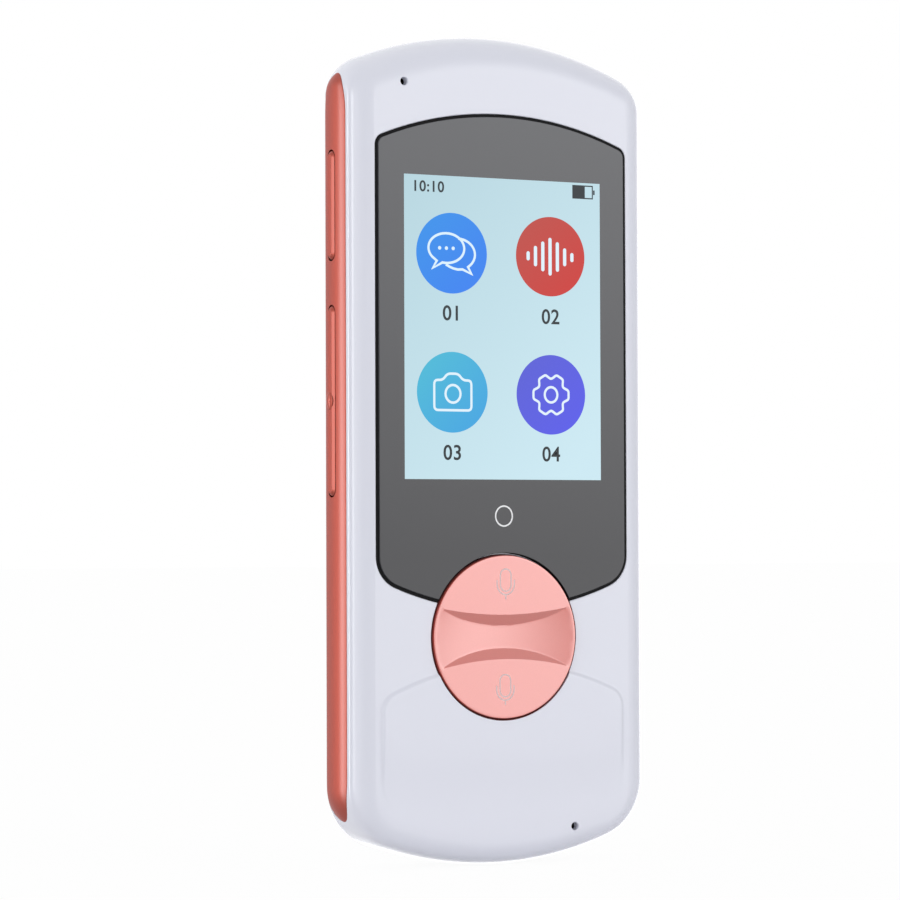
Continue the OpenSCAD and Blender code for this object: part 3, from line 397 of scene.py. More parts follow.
def end_surface(group, i, o, tone, spread, height):
    """Feeds what a surface group puts out: the tone between its colours, the roughness and the height."""
    group.links.new(mix_node(group, tone, i["Colour"], i["Second Colour"], "RGBA"), o["Colour"])
    rough = math_node(group, "MULTIPLY_ADD", spread, i["Roughness Spread"], i["Roughness"])
    group.links.new(rough, o["Roughness"])
    group.links.new(height, o["Height"])
    return group


def skin_group():
    """Slow colour drift and a fine skin, for moulded and painted surfaces."""
    g, i, o = surface_effect("moulded_skin", [("Drift Scale", FLOAT, 20.0), ("Skin Scale", FLOAT, 900.0)])
    where = object_place(g)
    drift = noise_node(g, where, i["Drift Scale"], 3.0)
    fine = noise_node(g, where, i["Skin Scale"], 2.0)
    return end_surface(g, i, o, drift, math_node(g, "SUBTRACT", fine, 0.5), fine)


def flake_group():
    """Fine metallic flake, each cell a little lighter or darker."""
    g, i, o = surface_effect("metal_flake", [("Flake Scale", FLOAT, 6000.0)])
    cells = put(g, "ShaderNodeTexVoronoi", {"Vector": object_place(g), "Scale": i["Flake Scale"]})
    tone = put(g, "ShaderNodeSeparateColor", {"Color": cells.outputs["Color"]}).outputs
    return end_surface(g, i, o, tone["Red"], tone["Green"], tone["Blue"])


def grain_group():
    """Long fine scratches from rolling or drawing, for steel, foil and contacts."""
    g, i, o = surface_effect("drawn_grain", [("Stretch", VECTOR, (300.0, 300.0, 9000.0))])
    stretched = put(g, "ShaderNodeMapping", {"Vector": object_place(g), "Scale": i["Stretch"]})
    scratches = noise_node(g, stretched.outputs["Vector"], 1.0, 4.0)
    return end_surface(g, i, o, scratches, scratches, scratches)


def fade_group():
    """A colour that passes into another along a direction, for the lit picture and the tinted glass; on the
    glass and across the picture the fade is a painted reflection.
    """
    g, i, o = effect("slow_fade", [
        ("From Colour", COLOUR, GREY), ("To Colour", COLOUR, GREY), ("Start", VECTOR, (0.0, 0.0, 0.1)),
        ("Direction", VECTOR, (0.0, 0.0, 10.0))], [("Colour", COLOUR)])
    away = vector_node(g, "SUBTRACT", object_place(g), i["Start"])
    along = vector_node(g, "DOT_PRODUCT", away, i["Direction"], output="Value")
    held = put(g, "ShaderNodeClamp", {"Value": along}).outputs["Result"]
    g.links.new(mix_node(g, held, i["From Colour"], i["To Colour"], "RGBA"), o["Colour"])
    return g


moulded_skin = skin_group()
metal_flake = flake_group()
drawn_grain = grain_group()
slow_fade = fade_group()


def finish(name, group, values, depth=0.0, into="Base Color", **plain):
    """A material: one effect feeds the shader, and plain numbers are set on the shader itself."""
    material = bpy.data.materials.new(name)
    material.use_nodes = True
    tree = material.node_tree
    shader = tree.nodes["Principled BSDF"]
    made = put(tree, "ShaderNodeGroup", values, node_tree=group).outputs
    tree.links.new(made["Colour"], shader.inputs[into])
    if "Roughness" in made:
        tree.links.new(made["Roughness"], shader.inputs["Roughness"])
    if depth:
        sizes = {"Height": made["Height"], "Distance": depth * MM, "Strength": 1.0}
        tree.links.new(put(tree, "ShaderNodeBump", sizes).outputs["Normal"], shader.inputs["Normal"])
    for label, value in plain.items():
        shader.inputs[label.replace("_", " ")].default_value = value
    return material


def surface(name, group, first, second, sizes, rough, spread, depth=0.0, **plain):
    """A finish of two near colours: its roughness, how far that varies, and its relief in millimetres."""
    values = {"Colour": paint(*first), "Second Colour": paint(*second), "Roughness": rough,
              "Roughness Spread": spread}
    return finish(name, group, values | sizes, depth, **plain)


def skin(name, first, second, drift, fine, *more, **plain):
    sizes = {"Drift Scale": drift, "Skin Scale": fine}
    return surface(name, moulded_skin, first, second, sizes, *more, **plain)


def flake(name, first, second, *more, **plain):
    return surface(name, metal_flake, first, second, {"Flake Scale": 14000.0}, *more, **plain)


def grain(name, first, second, stretch, *more, **plain):
    return surface(name, drawn_grain, first, second, {"Stretch": stretch}, *more, **plain)


def fade(name, first, second, start, direction, **plain):
    colours = {"From Colour": paint(*first), "To Colour": paint(*second)}
    return finish(name, slow_fade, colours | {"Start": start, "Direction": direction}, **plain)


def lit(name, first, second, start, direction):
    """A part of the lit picture: its colour is light, under the polish of the glass."""
    return fade(name, first, second, start, direction, into="Emission Color", Emission_Strength=1.0,
                Base_Color=(0.004, 0.004, 0.004, 1.0), Roughness=0.08, IOR=1.45, Specular_IOR_Level=0.2)


def clad(obj, *materials):
    obj.data.materials.clear()
    for m in materials:
        obj.data.materials.append(m)
    return obj


# The numbers after the colours: scales of the pattern, roughness and its spread, and relief
gloss_white = skin("gloss_white", (229, 231, 243), (226, 228, 240), 14.0, 420.0, 0.16, 0.05, 0.0008,
                   Coat_Weight=0.35, Coat_Roughness=0.06, IOR=1.48)
rose_metal = flake("rose_metal", (161, 72, 58), (157, 69, 55), 0.42, 0.05, 0.0003, Metallic=1.0,
                   Coat_Weight=0.5, Coat_Roughness=0.07, Specular_Tint=(0.85, 0.5, 0.5, 1.0))
dial_rose = flake("dial_rose", (212, 92, 78), (208, 88, 74), 0.36, 0.06, 0.0003, Metallic=0.15,
                  Coat_Weight=1.0, Coat_Roughness=0.2, Coat_IOR=2.2)
# Dark maroon of the knob's base; the same colour is painted shade in the gap round the dial, on the knob and
# in the shell's hole
dark_base_gap_shade = skin("dark_base_gap_shade", (106, 48, 47), (98, 43, 42), 120.0, 2600.0, 0.6, 0.1, 0.002,
                 Specular_IOR_Level=0.1)
# Grey tint of the cover glass, with a painted reflection: lighter toward the top, as if it mirrored light
# from above
glass_tint_painted_reflection = fade("glass_tint_painted_reflection", (53, 53, 57), (89, 90, 94), (0.0, 0.0, 0.050), (0.0, 0.0, 14.0),
                    Roughness=0.06, IOR=1.5, Specular_IOR_Level=0.4)
glass_ink = skin("glass_ink", (14, 14, 16), (18, 18, 20), 60.0, 1500.0, 0.42, 0.06, Specular_IOR_Level=0.1)
black_rubber = skin("black_rubber", (14, 14, 16), (20, 20, 22), 120.0, 2600.0, 0.62, 0.2, 0.004,
                    Specular_IOR_Level=0.12)
black_plastic = skin("black_plastic", (38, 38, 41), (31, 31, 34), 90.0, 2200.0, 0.48, 0.2, 0.004)
black_gloss = skin("black_gloss", (12, 12, 15), (16, 16, 20), 90.0, 900.0, 0.05, 0.02,
                   Coat_Weight=0.6, Coat_Roughness=0.02)
clear_plastic = skin("clear_plastic", (238, 236, 224), (232, 229, 214), 200.0, 2500.0, 0.20, 0.1, 0.004)
led_yellow = skin("led_yellow", (240, 214, 92), (230, 200, 76), 700.0, 4000.0, 0.55, 0.2, 0.004)
display_glass = fade("display_glass", (60, 66, 70), (72, 78, 82), (-0.02, 0.0, 0.112), (12.0, 0.0, -12.0),
                     Roughness=0.12, IOR=1.5)
white_film = skin("white_film", (232, 233, 236), (226, 227, 231), 60.0, 1800.0, 0.5, 0.2, 0.003)
flex_film = grain("flex_film", (206, 128, 44), (186, 108, 34), (900.0, 900.0, 900.0), 0.28, 0.15, 0.003)
board_green = skin("board_green", (20, 92, 62), (14, 76, 52), 260.0, 5200.0, 0.36, 0.2, 0.006)
bright_steel = grain("bright_steel", (204, 205, 208), (176, 178, 182), (400.0, 400.0, 12000.0), 0.2, 0.2,
                     0.002, Metallic=1.0)
gold_contact = grain("gold_contact", (238, 208, 122), (218, 184, 98), (3000.0, 3000.0, 3000.0), 0.2, 0.2,
                     0.002, Metallic=1.0)
battery_foil = grain("battery_foil", (206, 208, 212), (190, 192, 197), (350.0, 350.0, 3000.0), 0.34, 0.2,
                     0.004, Metallic=1.0)
mark_silver = flake("mark_silver", (226, 200, 199), (220, 194, 194), 0.35, 0.05)
dark_mesh = grain("dark_mesh", (46, 47, 50), (30, 31, 33), (9000.0, 9000.0, 9000.0), 0.45, 0.2, 0.004,
                  Specular_IOR_Level=0.2)
ring_print = skin("ring_print", (240, 241, 243), (234, 235, 238), 200.0, 2500.0, 0.2, 0.05)

# The lit picture: where each colour starts to fade, in metres, and the way it fades. The fade from the
# picture's upper left corner, on the picture, its signs and numbers, is a painted reflection
corner, slant = (-0.018, 0.0, 0.111), (13.0, 0.0, -13.0)
disc_slant = (40.0, 0.0, -40.0)
picture_light = lit("picture_light", (179, 210, 220), (200, 229, 239), corner, slant)
disc_blue = lit("disc_blue", (40, 142, 230), (44, 122, 238), (-0.016, 0, 0.105), disc_slant)
disc_red = lit("disc_red", (186, 70, 62), (204, 42, 38), (0.003, 0, 0.105), disc_slant)
disc_cyan = lit("disc_cyan", (66, 184, 210), (50, 158, 222), (-0.016, 0, 0.083), disc_slant)
disc_indigo = lit("disc_indigo", (82, 88, 208), (80, 82, 232), (0.003, 0, 0.083), disc_slant)
sign_white = lit("sign_white", (214, 238, 250), (228, 240, 248), corner, slant)
number_dark = lit("number_dark", (40, 50, 56), (30, 36, 40), corner, slant)

slot_finish = {
    "white_gloss": gloss_white, "rose_metal": rose_metal, "rose_plastic": dial_rose,
    "cover_glass": glass_tint_painted_reflection, "display_glass": display_glass, "black_rubber": black_rubber,
    "black_plastic": black_plastic, "black_gloss": black_gloss, "clear_plastic": clear_plastic,
    "led_yellow": led_yellow, "white_film": white_film, "flex_film": flex_film, "board_green": board_green,
    "steel": bright_steel, "gold_contact": gold_contact, "battery_foil": battery_foil,
}
for part in frame["record"]["subparts"]:
    clad(nodes[part["node"]], slot_finish[part["material_slot"]])
clad(nodes["speaker_mesh"], dark_mesh)


def fit_piece(obj, body, slot, *replaced):
    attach(obj, body)
    if replaced:
        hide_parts(*replaced)
    return obj


# ---- Seats of the side trims, in both shells ----
def side_x(z):
    """Half the body's width at a height."""
    over = max(0.0, z - (body_h - top_r + corner_rise(body_w / 2, top_r, top_corner)))
    under = max(0.0, base_r - corner_rise(body_w / 2, base_r, base_corner) - z)
    return (body_w / 2 - top_corner - base_corner + math.sqrt(top_corner ** 2 - over ** 2)
            + math.sqrt(base_corner ** 2 - under ** 2))


def seat_core():
    """The body without the depth of the seats: a trim is what lies outside it."""
    return plate("seat_core", body_outline(trim_seat, trim_seat, trim_seat), front_y - 3, back_y + 3)


def trim_seat_tool(side):
    outline = []
    for end in (1, -1):
        for a in [math.pi * i / 40 for i in range(41)]:
            outline.append((side_y + end * trim_w / 2 * math.cos(a),
                            trim_mid + end * (trim_half_l - trim_taper + trim_taper * math.sin(a))))
    return join_shape(across("seat_tool", outline, side * 22.0, side * 32.4), seat_core())


# ---- Front shell ----
def panel_outline(inset, **steps):
    return arched_outline(22.8 - inset, 32.95 - inset, 51 - inset, max(3.6 - inset, 0.6),
                          5.8 + inset, 61.2, 5.5 - inset, **steps)


def front_panel_height(flat):
    """The lower panel stands out a little, and sinks into the rounded lower end."""
    sunk = depth_inside(flat, panel_outline(0, arch=40, corner=10, side=8))
    rising = smooth_step((flat[:, 1] - 10.0) / 13.0)
    return panel_rise * smooth_step(sunk / panel_step) * rising


def front_shell_skin():
    """The sides of the shell from the seam to the front, closed there by the face with its raised panel."""
    levels = eased(crown_y, front_y, 26)[::-1] + [(crown_y + seam_y) / 2, seam_y - edge_bevel]
    rings = [ring(y) for y in levels] + [ring(seam_y, 0.1)]
    points = [p for r in rings for p in r]
    faces = loft_faces(len(rings), len(rings[0]), first_cap=False)
    outer = [(x, z) for x, _, z in rings[0]]
    inset = body_outline(side_shoulder + 0.35, top_shoulder + 0.35, base_shoulder + 0.35)
    loops = [(inset, True)] + [(panel_outline(t, arch=60, corner=14, side=22), True)
                               for t in (0, 0.15, 0.3, 0.45, 0.6, 0.75, 0.9)]
    extra = [(x, z) for x in np.arange(-20, 20.1, 1.6) for z in np.arange(7.4, 19, 1.5)]
    flat, sheet, height = relief(outer, loops, extra, front_panel_height)
    first = len(points)
    points += [(x, front_y - h, z) for (x, z), h in zip(flat, height)]
    faces += [[first + i for i in f] for f in sheet]
    return piece("front_shell_skin", points, faces)


def cut_front_openings(shell):
    """The pocket of the glass, the display's window, the dial's hole, the microphones, keys and port."""
    pocket = [(-beyond, gasket_w + edge_bevel), (front_y, gasket_w + edge_bevel),
              (front_y + edge_bevel, gasket_w), (ledge_y, gasket_w)]
    join_shape(shell, loft("pocket", [at_y(glass_outline(grow), y) for y, grow in pocket]))
    join_shape(shell, plate("window", rectangle(-21.01, 21.01, 59.27, 114.53), -6, -4))
    bore = [(bore_lead_r, -beyond), (bore_lead_r, front_y),
            (bore_in_r, front_y + edge_bevel), (bore_in_r, -4)]
    join_shape(shell, turned("bore", bore, 0, dial_z, 192))
    pinhole = [(0.8, -beyond), (0.8, front_y - 0.02), (0.65, front_y + edge_bevel), (0.65, -3)]
    for x, z in (upper_mic, lower_mic):
        join_shape(shell, turned("mic", pinhole, x, z, 40))
    for side in (1, -1):
        join_shape(shell, trim_seat_tool(side))
    for z, l in ((power_z, power_l + 2.0), (volume_z, volume_l + 1.8)):
        join_shape(shell, across("key_window", centred(side_y, z, 2.05, l / 2), -27.4, -24.6))
    port = stadium(port_y, 0, port_t + 0.2, port_w + 0.2)
    join_shape(shell, loft("port_hole", [[(x, y, z) for y, x in port] for z in (-1, 4)]))


def add_posts(shell):
    """Four screw posts, and the two bearings of the dial's pin."""
    root_y = panel_in_y - 0.1
    for x, z in ((-12, 126.7), (12, 126.7), (-17.5, 14), (17.5, 14)):
        back = tray_back_y if z > 100 else board_front_y
        join_shape(shell, plate("post", circle(x, z, 1.8, 40), root_y, back), "UNION")
        join_shape(shell, plate("post_hole", circle(x, z, 0.7, 32), -4.95, back + 0.1))
    for side in (1, -1):
        bearing = plate("pivot_post", centred(side * 15.8, dial_z, 1.0, 1.6), root_y, -2.85)
        join_shape(shell, bearing, "UNION")
    join_shape(shell, across("pivot_bore", circle(dial_pivot_y, dial_z, 0.62, 32), -16.9, 16.9))


def build_front_shell():
    shell = front_shell_skin()
    join_shape(shell, plate("hollow", cavity(0), -3.4, 6))
    join_shape(shell, plate("hollow", deep_cavity(), panel_in_y, -3.3))
    cut_front_openings(shell)
    add_posts(shell)
    clad(soften(shell), gloss_white, dark_base_gap_shade)
    # The lead-in and wall of the dial's hole are dark maroon: painted shade in the gap round the dial
    for polygon in shell.data.polygons:
        x, y, z = polygon.center / MM
        polygon.material_index = int(front_y < y < -4.9 and math.hypot(x, z - dial_z) < bore_lead_r)
    fit_piece(shell, "casing", "white_gloss", "front_shell")


# ---- Back cover ----
def grille_tool():
    """Pins on a grid, from a node tree with named sizes, which cut the holes of the loudspeaker."""
    sizes = {"Width": 0.0176, "Height": 0.0044, "Hole Radius": 0.0006, "Depth": 0.004,
             "Columns": 9, "Rows": 3}
    tree = bpy.data.node_groups.new("grille_pins", "GeometryNodeTree")
    identifiers = {}
    for label, value in sizes.items():
        kind = "NodeSocketInt" if isinstance(value, int) else FLOAT
        socket = tree.interface.new_socket(name=label, in_out="INPUT", socket_type=kind)
        socket.default_value = value
        identifiers[label] = socket.identifier
    tree.interface.new_socket(name="Geometry", in_out="OUTPUT", socket_type="NodeSocketGeometry")
    size = put(tree, "NodeGroupInput", {}).outputs
    grid = put(tree, "GeometryNodeMeshGrid", {"Size X": size["Width"], "Size Y": size["Height"],
                                              "Vertices X": size["Columns"], "Vertices Y": size["Rows"]})
    pin = put(tree, "GeometryNodeMeshCylinder", {"Vertices": 32, "Radius": size["Hole Radius"],
                                                 "Depth": size["Depth"]})
    pins = put(tree, "GeometryNodeInstanceOnPoints", {"Points": grid.outputs["Mesh"],
                                                      "Instance": pin.outputs["Mesh"]})
    real = put(tree, "GeometryNodeRealizeInstances", {"Geometry": pins.outputs["Instances"]})
    white = put(tree, "GeometryNodeSetMaterial", {"Geometry": real.outputs["Geometry"],
                                                  "Material": gloss_white})
    put(tree, "NodeGroupOutput", {"Geometry": white.outputs["Geometry"]})
    tool = place("grille_pins", bpy.data.meshes.new("grille_pins"))
    made = tool.modifiers.new("pins", "NODES")
    made.node_group = tree
    for label, value in sizes.items():
        made[identifiers[label]] = value
    baked(tool)
    seat = Matrix.Translation((0, back_y * MM, speaker_z * MM))
    tool.data.transform(seat @ Matrix.Rotation(math.pi / 2, 4, "X"))
    return tool


def back_hole(name, r, x, steps):
    """A round hole right through the cover, bevelled at the back."""
    profile = [(r, 4), (r, back_y - window_bevel), (r + window_bevel, back_y), (r + window_bevel, beyond)]
    return turned(name, profile, x, camera_z, steps)


def build_back_cover():
    levels = eased(seam_y + edge_bevel, back_y, 22)
    shell = loft("back_cover_skin", [ring(seam_y, 0.1)] + [ring(y) for y in levels])
    join_shape(shell, plate("hollow", cavity(0.8), seam_y - 1, 4.2))
    join_shape(shell, plate("hollow", deep_cavity(), 4.1, cover_in_y))
    for side in (1, -1):
        join_shape(shell, trim_seat_tool(side))
    well = plate("well", centred(0, speaker_z, 12, 8), cover_in_y - 2.6, cover_in_y + 0.1)
    join_shape(well, plate("well_room", centred(0, speaker_z, 11.1, 7.1), 0, cover_in_y + 0.2))
    join_shape(shell, well, "UNION")
    join_shape(shell, back_hole("ring_hole", camera_ring_r + 0.05, camera_x, 96))
    join_shape(shell, back_hole("flash_hole", flash_r + 0.05, flash_x, 48))
    join_shape(shell, grille_tool())
    clad(soften(shell), gloss_white)
    fit_piece(shell, "casing", "white_gloss", "back_cover")


# ---- Side trims ----
def trim_half_w(along, half_w):
    into = (abs(along) - (trim_half_l - trim_taper)) / trim_taper
    return half_w if into <= 0 else half_w * math.sqrt(max(0.0, 1 - into * into))


def trim_section(side, along, crown_steps=26):
    """Across a trim: an even arch between two small rounded edges."""
    h = trim_half_w(along, trim_w / 2 - trim_gap)
    z = trim_mid + along
    edge = min(0.14, h / 4)
    crown = trim_crown * h / (trim_w / 2)
    x = side_x(z)
    turns = [math.pi / 2 * i / 4 for i in range(4)]
    profile = [(-h + edge * (1 - math.cos(a)), -edge * (1 - math.sin(a))) for a in turns]
    for i in range(crown_steps + 1):
        t = -1 + 2 * i / crown_steps
        profile.append(((h - edge) * t, crown * (1 - t * t)))
    profile += [(-y, rise) for y, rise in reversed(profile[:4])]
    root_x = 23.4
    points = [(root_x, side_y - h, z)]
    points += [(x - side_in(side_y + y) + rise, side_y + y, z) for y, rise in profile]
    points.append((root_x, side_y + h, z))
    return [(side * px, py, pz) for px, py, pz in points]


def build_trim(name, side, node):
    shares = [(i + 0.35) / 30.35 for i in range(31)]
    stations = [trim_half_l - trim_taper * (1 - math.cos(math.pi / 2 * share)) for share in shares]
    straight = list(np.linspace(-stations[-1], stations[-1], 30))[1:-1]
    along = [-s for s in stations] + straight + stations[::-1]
    strip = loft(name, [trim_section(side, s) for s in along])
    join_shape(strip, seat_core())
    if side < 0:
        for z, l in ((power_z, power_l), (volume_z, volume_l)):
            slot = stadium(key_y, z, key_w + slot_gap, l + slot_gap)
            join_shape(strip, across("slot", slot, -32, -26))
    clad(soften(strip, 38), rose_metal)
    fit_piece(strip, "casing", "rose_metal", node)


# ---- Side keys ----
def key_cap(name, z, l):
    """A bar with chamfered edges, from pairs of a level and how far its outline lies in there."""
    out, rise, reach = key_front_x, 0.4, 0.5
    levels = [(25.9, 0.0), (out - rise, 0.0), (out - 0.93 * rise, 0.03 * reach),
              (out - 0.1 * rise, 0.88 * reach), (out, 1.05 * reach)]
    return loft(name, [at_x(stadium(key_y, z, key_w - 2 * w, l - 2 * w), -x) for x, w in levels])


def key_nub():
    """The oval bump in the middle of the volume key."""
    turns = np.linspace(0, math.pi / 2, 14)
    dome = [(math.sin(a), nub_rise * math.cos(a) ** 1.5) for a in turns] + [(1, -0.5)]
    rings = []
    for r, h in dome:
        oval_ring = [(nub_half_w * y, nub_half_l * z) for y, z in circle(0, 0, max(r, 0.01), 48)]
        rings.append([(-(key_front_x + h), key_y + 0.1 + y, volume_z + z) for y, z in oval_ring])
    return loft("nub", rings)


def key_block(name, z, half_l, x0, x1):
    """Part of a key's foot behind the trim."""
    return across(name, centred(side_y, z, 1.9, half_l), x0, x1)


def build_keys():
    power = key_cap("power_key_cap", power_z, power_l)
    join_shape(power, key_block("flange", power_z, 9.35, -26.3, -25.65), "UNION")
    join_shape(power, across("nib", circle(side_y, power_z, 0.8, 40), -25.7, -25.5), "UNION")
    clad(soften(power, 38), rose_metal)
    fit_piece(power, "power_button", "rose_metal", "power_key")
    volume = key_cap("volume_key_cap", volume_z, volume_l)
    join_shape(volume, key_nub(), "UNION")
    join_shape(volume, key_block("flange", volume_z, 15.75, -25.9, -25.37), "UNION")
    join_shape(volume, key_block("lug", volume_z, 1.5, -26.35, -25.37), "UNION")
    join_shape(volume, plate("pin_bore", circle(-25.899, volume_z, 0.35, 24), -3, 5))
    clad(soften(volume, 38), rose_metal)
    fit_piece(volume, "volume_rocker", "rose_metal", "volume_key")


# ---- Cover glass ----
def build_glass():
    bevel_y, bevel_r = glass_front_y + glass_bevel, glass_bite_r + glass_bevel
    levels = [(glass_front_y, edge_bevel), (bevel_y, glass_bevel), (glass_front_y + edge_bevel, 0.0),
              (glass_back_y, 0.0)]
    glass = loft("cover_glass_plate", [at_y(glass_outline(-g), y) for y, g in levels])
    profile = [(bevel_r, -beyond), (bevel_r, glass_front_y), (glass_bite_r, bevel_y), (glass_bite_r, -5)]
    bite = turned("bite", profile, 0, dial_z, 192)
    clad(glass, glass_tint_painted_reflection, glass_ink)
    clad(bite, glass_tint_painted_reflection, glass_ink)
    # The ink reaches the edge of the glass around the dial
    for polygon in bite.data.polygons:
        polygon.material_index = 1
    join_shape(glass, bite)
    soften(glass, 30)
    fit_piece(glass, "casing", "cover_glass", "cover_glass")


# ---- The lit picture and its signs ----
class Sheet:
    """Thin closed shapes on the front, gathered into one piece."""

    def __init__(self, front, back):
        self.front, self.back = front, back
        self.points, self.faces, self.kinds = [], [], []

    def add(self, loop, kind=0):
        first, n = len(self.points), len(loop)
        self.points += at_y(loop, self.front) + at_y(loop, self.back)
        sides = [[i, (i + 1) % n, n + (i + 1) % n, n + i] for i in range(n)]
        for face in [list(range(n)), [n + i for i in reversed(range(n))]] + sides:
            self.faces.append([first + k for k in face])
        self.kinds += [kind] * (n + 2)

    def line(self, path, width, closed=False):
        """A line of a given width along a path, mitred at its turns."""
        p = np.array(path, float)
        n = len(p)
        before = np.roll(p, 1, axis=0)
        after = np.roll(p, -1, axis=0)
        if not closed:
            before[0], after[-1] = p[0] - (p[1] - p[0]), p[-1] + (p[-1] - p[-2])
        d1 = (p - before) / np.maximum(np.linalg.norm(p - before, axis=1, keepdims=True), 1e-9)
        d2 = (after - p) / np.maximum(np.linalg.norm(after - p, axis=1, keepdims=True), 1e-9)
        n1, n2 = np.stack([-d1[:, 1], d1[:, 0]], 1), np.stack([-d2[:, 1], d2[:, 0]], 1)
        m = n1 + n2
        m /= np.maximum(np.linalg.norm(m, axis=1, keepdims=True), 1e-9)
        reach = width / 2 / np.clip((m * n1).sum(1, keepdims=True), 0.45, 1)
        left, right = p + m * reach, p - m * reach
        first, old = len(self.points), len(self.faces)
        for y in (self.front, self.back):
            self.points += at_y(left, y) + at_y(right, y)
        lf, rf, lb, rb = (first + k * n for k in range(4))
        for i in range(n if closed else n - 1):
            j = (i + 1) % n
            self.faces += [[lf + i, lf + j, rf + j, rf + i], [lb + i, rb + i, rb + j, lb + j],
                           [lf + i, lb + i, lb + j, lf + j], [rf + i, rf + j, rb + j, rb + i]]
        if not closed:
            self.faces += [[lf + i, rf + i, rb + i, lb + i] for i in (0, n - 1)]
        self.kinds += [0] * (len(self.faces) - old)

    def fit(self, name, body, slot, *materials):
        mesh = bpy.data.meshes.new(name)
        mesh.from_pydata([tuple(c * MM for c in p) for p in self.points], [], self.faces)
        obj = clad(place(name, mesh), *materials)
        mesh.polygons.foreach_set("material_index", self.kinds)
        tidy_normals(obj, 0.0)
        fit_piece(obj, body, slot)


def oval(cx, cz, rx, rz, start=0.0, end=360.0, steps=48):
    turns = [math.radians(start + (end - start) * i / steps) for i in range(steps + 1)]
    return [(cx + rx * math.cos(a), cz + rz * math.sin(a)) for a in turns]


def whole_oval(cx, cz, rx, rz, steps):
    return oval(cx, cz, rx, rz, steps=steps)[:-1]


def rounded(points, r, steps=5):
    """A closed path with its corners rounded."""
    out = []
    n = len(points)
    for i in range(n):
        a, b, c = (np.array(points[k % n], float) for k in (i - 1, i, i + 1))
        u, v = (a - b) / np.linalg.norm(a - b), (c - b) / np.linalg.norm(c - b)
        cut = min(r, np.linalg.norm(a - b) / 2.1, np.linalg.norm(c - b) / 2.1)
        p, q = b + u * cut, b + v * cut
        for k in range(steps + 1):
            t = k / steps
            out.append(tuple((1 - t) ** 2 * p + 2 * t * (1 - t) * b + t * t * q))
    return out


discs = [(-9.65, 99.0), (8.85, 99.1), (-9.6, 76.55), (8.87, 76.45)]
disc_r = 6.52
pen = 0.4


def draw_bubbles(signs, x, z):
    """Two speech bubbles, the rear one partly hidden, and three dots."""
    turns = np.radians(np.linspace(-103, 217, 60))
    near = [(x - 0.98 + 3.3 * math.cos(a), z + 0.79 + 2.4 * math.sin(a)) for a in turns]
    signs.line(near + [(x - 2.75, z - 1.3), (x - 3.5, z - 2.5)], pen, True)
    turns = np.radians(np.linspace(88, -46, 32))
    rear = [(x + 1.1 + 3.2 * math.cos(a), z - 0.1 + 2.5 * math.sin(a)) for a in turns]
    tail = [(3.0, -2.15), (3.65, -3.25), (2.0, -2.55), (1.1, -2.6), (0.3, -2.45), (-0.4, -2.2),
            (-1.1, -1.85)]
    signs.line(rear + [(x + a, z + b) for a, b in tail], pen)
    for k in (-1, 0, 1):
        signs.add(circle(x - 0.98 + 1.25 * k, z + 0.79, 0.3, 20))


def draw_sound(signs, x, z):
    """Seven bars of a sound wave, each with its place and its height."""
    bars = ((-4.22, 1.5), (-2.83, 3.35), (-1.44, 4.9), (-0.06, 6.2), (1.33, 4.85), (2.72, 2.95), (4.11, 1.5))
    for dx, h in bars:
        signs.add(stadium(x + dx, z, 0.62, h, 10))


def draw_camera(signs, x, z):
    shape = [(-3.35, -2.9), (-3.35, 1.95), (-1.75, 1.95), (-0.95, 3.0), (1.1, 3.0), (1.95, 1.95),
             (3.5, 1.95), (3.5, -2.9)]
    signs.line(rounded([(x + a, z + b) for a, b in shape], 0.7), pen, True)
    signs.line(whole_oval(x + 0.1, z - 0.25, 1.38, 1.42, 40), pen, True)


def draw_wheel(signs, x, z):
    """A wheel with six teeth, from the radius and angle of each corner of a tooth."""
    tooth = ((3.42, -12.5), (3.42, 12.5), (2.85, 21), (2.58, 30), (2.85, 39))
    corners = [(r, math.radians(60 * k + a)) for k in range(6) for r, a in tooth]
    wheel = [(x + r * math.cos(a), z + r * math.sin(a)) for r, a in corners]
    signs.line(rounded(wheel, 0.35, 3), pen, True)
    signs.line(whole_oval(x, z, 1.2, 1.25, 36), pen, True)


def build_picture():
    """Thin layers on the glass, each a little further out than the one it lies on."""
    ground = Sheet(glass_front_y - 0.010, glass_front_y + 0.02)
    ground.add(centred(0, picture_z, picture_w / 2, picture_h / 2))
    ground.fit("screen_picture", "casing", "display_glass", picture_light)

    spots = Sheet(glass_front_y - 0.016, glass_front_y)
    for kind, (x, z) in enumerate(discs):
        spots.add(circle(x, z, disc_r, 96), kind)
    spots.fit("screen_discs", "casing", "display_glass", disc_blue, disc_red, disc_cyan, disc_indigo)

    signs = Sheet(glass_front_y - 0.022, glass_front_y - 0.006)
    for draw, (x, z) in zip((draw_bubbles, draw_sound, draw_camera, draw_wheel), discs):
        draw(signs, x, z)
    signs.fit("screen_signs", "casing", "display_glass", sign_white)

    battery = Sheet(glass_front_y - 0.016, glass_front_y)
    battery.line(rectangle(13.2, 16.95, 108.95, 111.0), 0.2, True)
    battery.add(rectangle(13.3, 15.5, 109.05, 110.9))
    battery.add(rectangle(17.1, 17.4, 109.6, 110.35))
    battery.fit("screen_battery_sign", "casing", "display_glass", number_dark)

    build_numbers()

    home = Sheet(glass_front_y - 0.006, glass_front_y + 0.01)
    home.line(whole_oval(-0.1, 56.6, 1.56, 1.62, 56), 0.26, True)
    home.fit("home_ring", "casing", "cover_glass", ring_print)


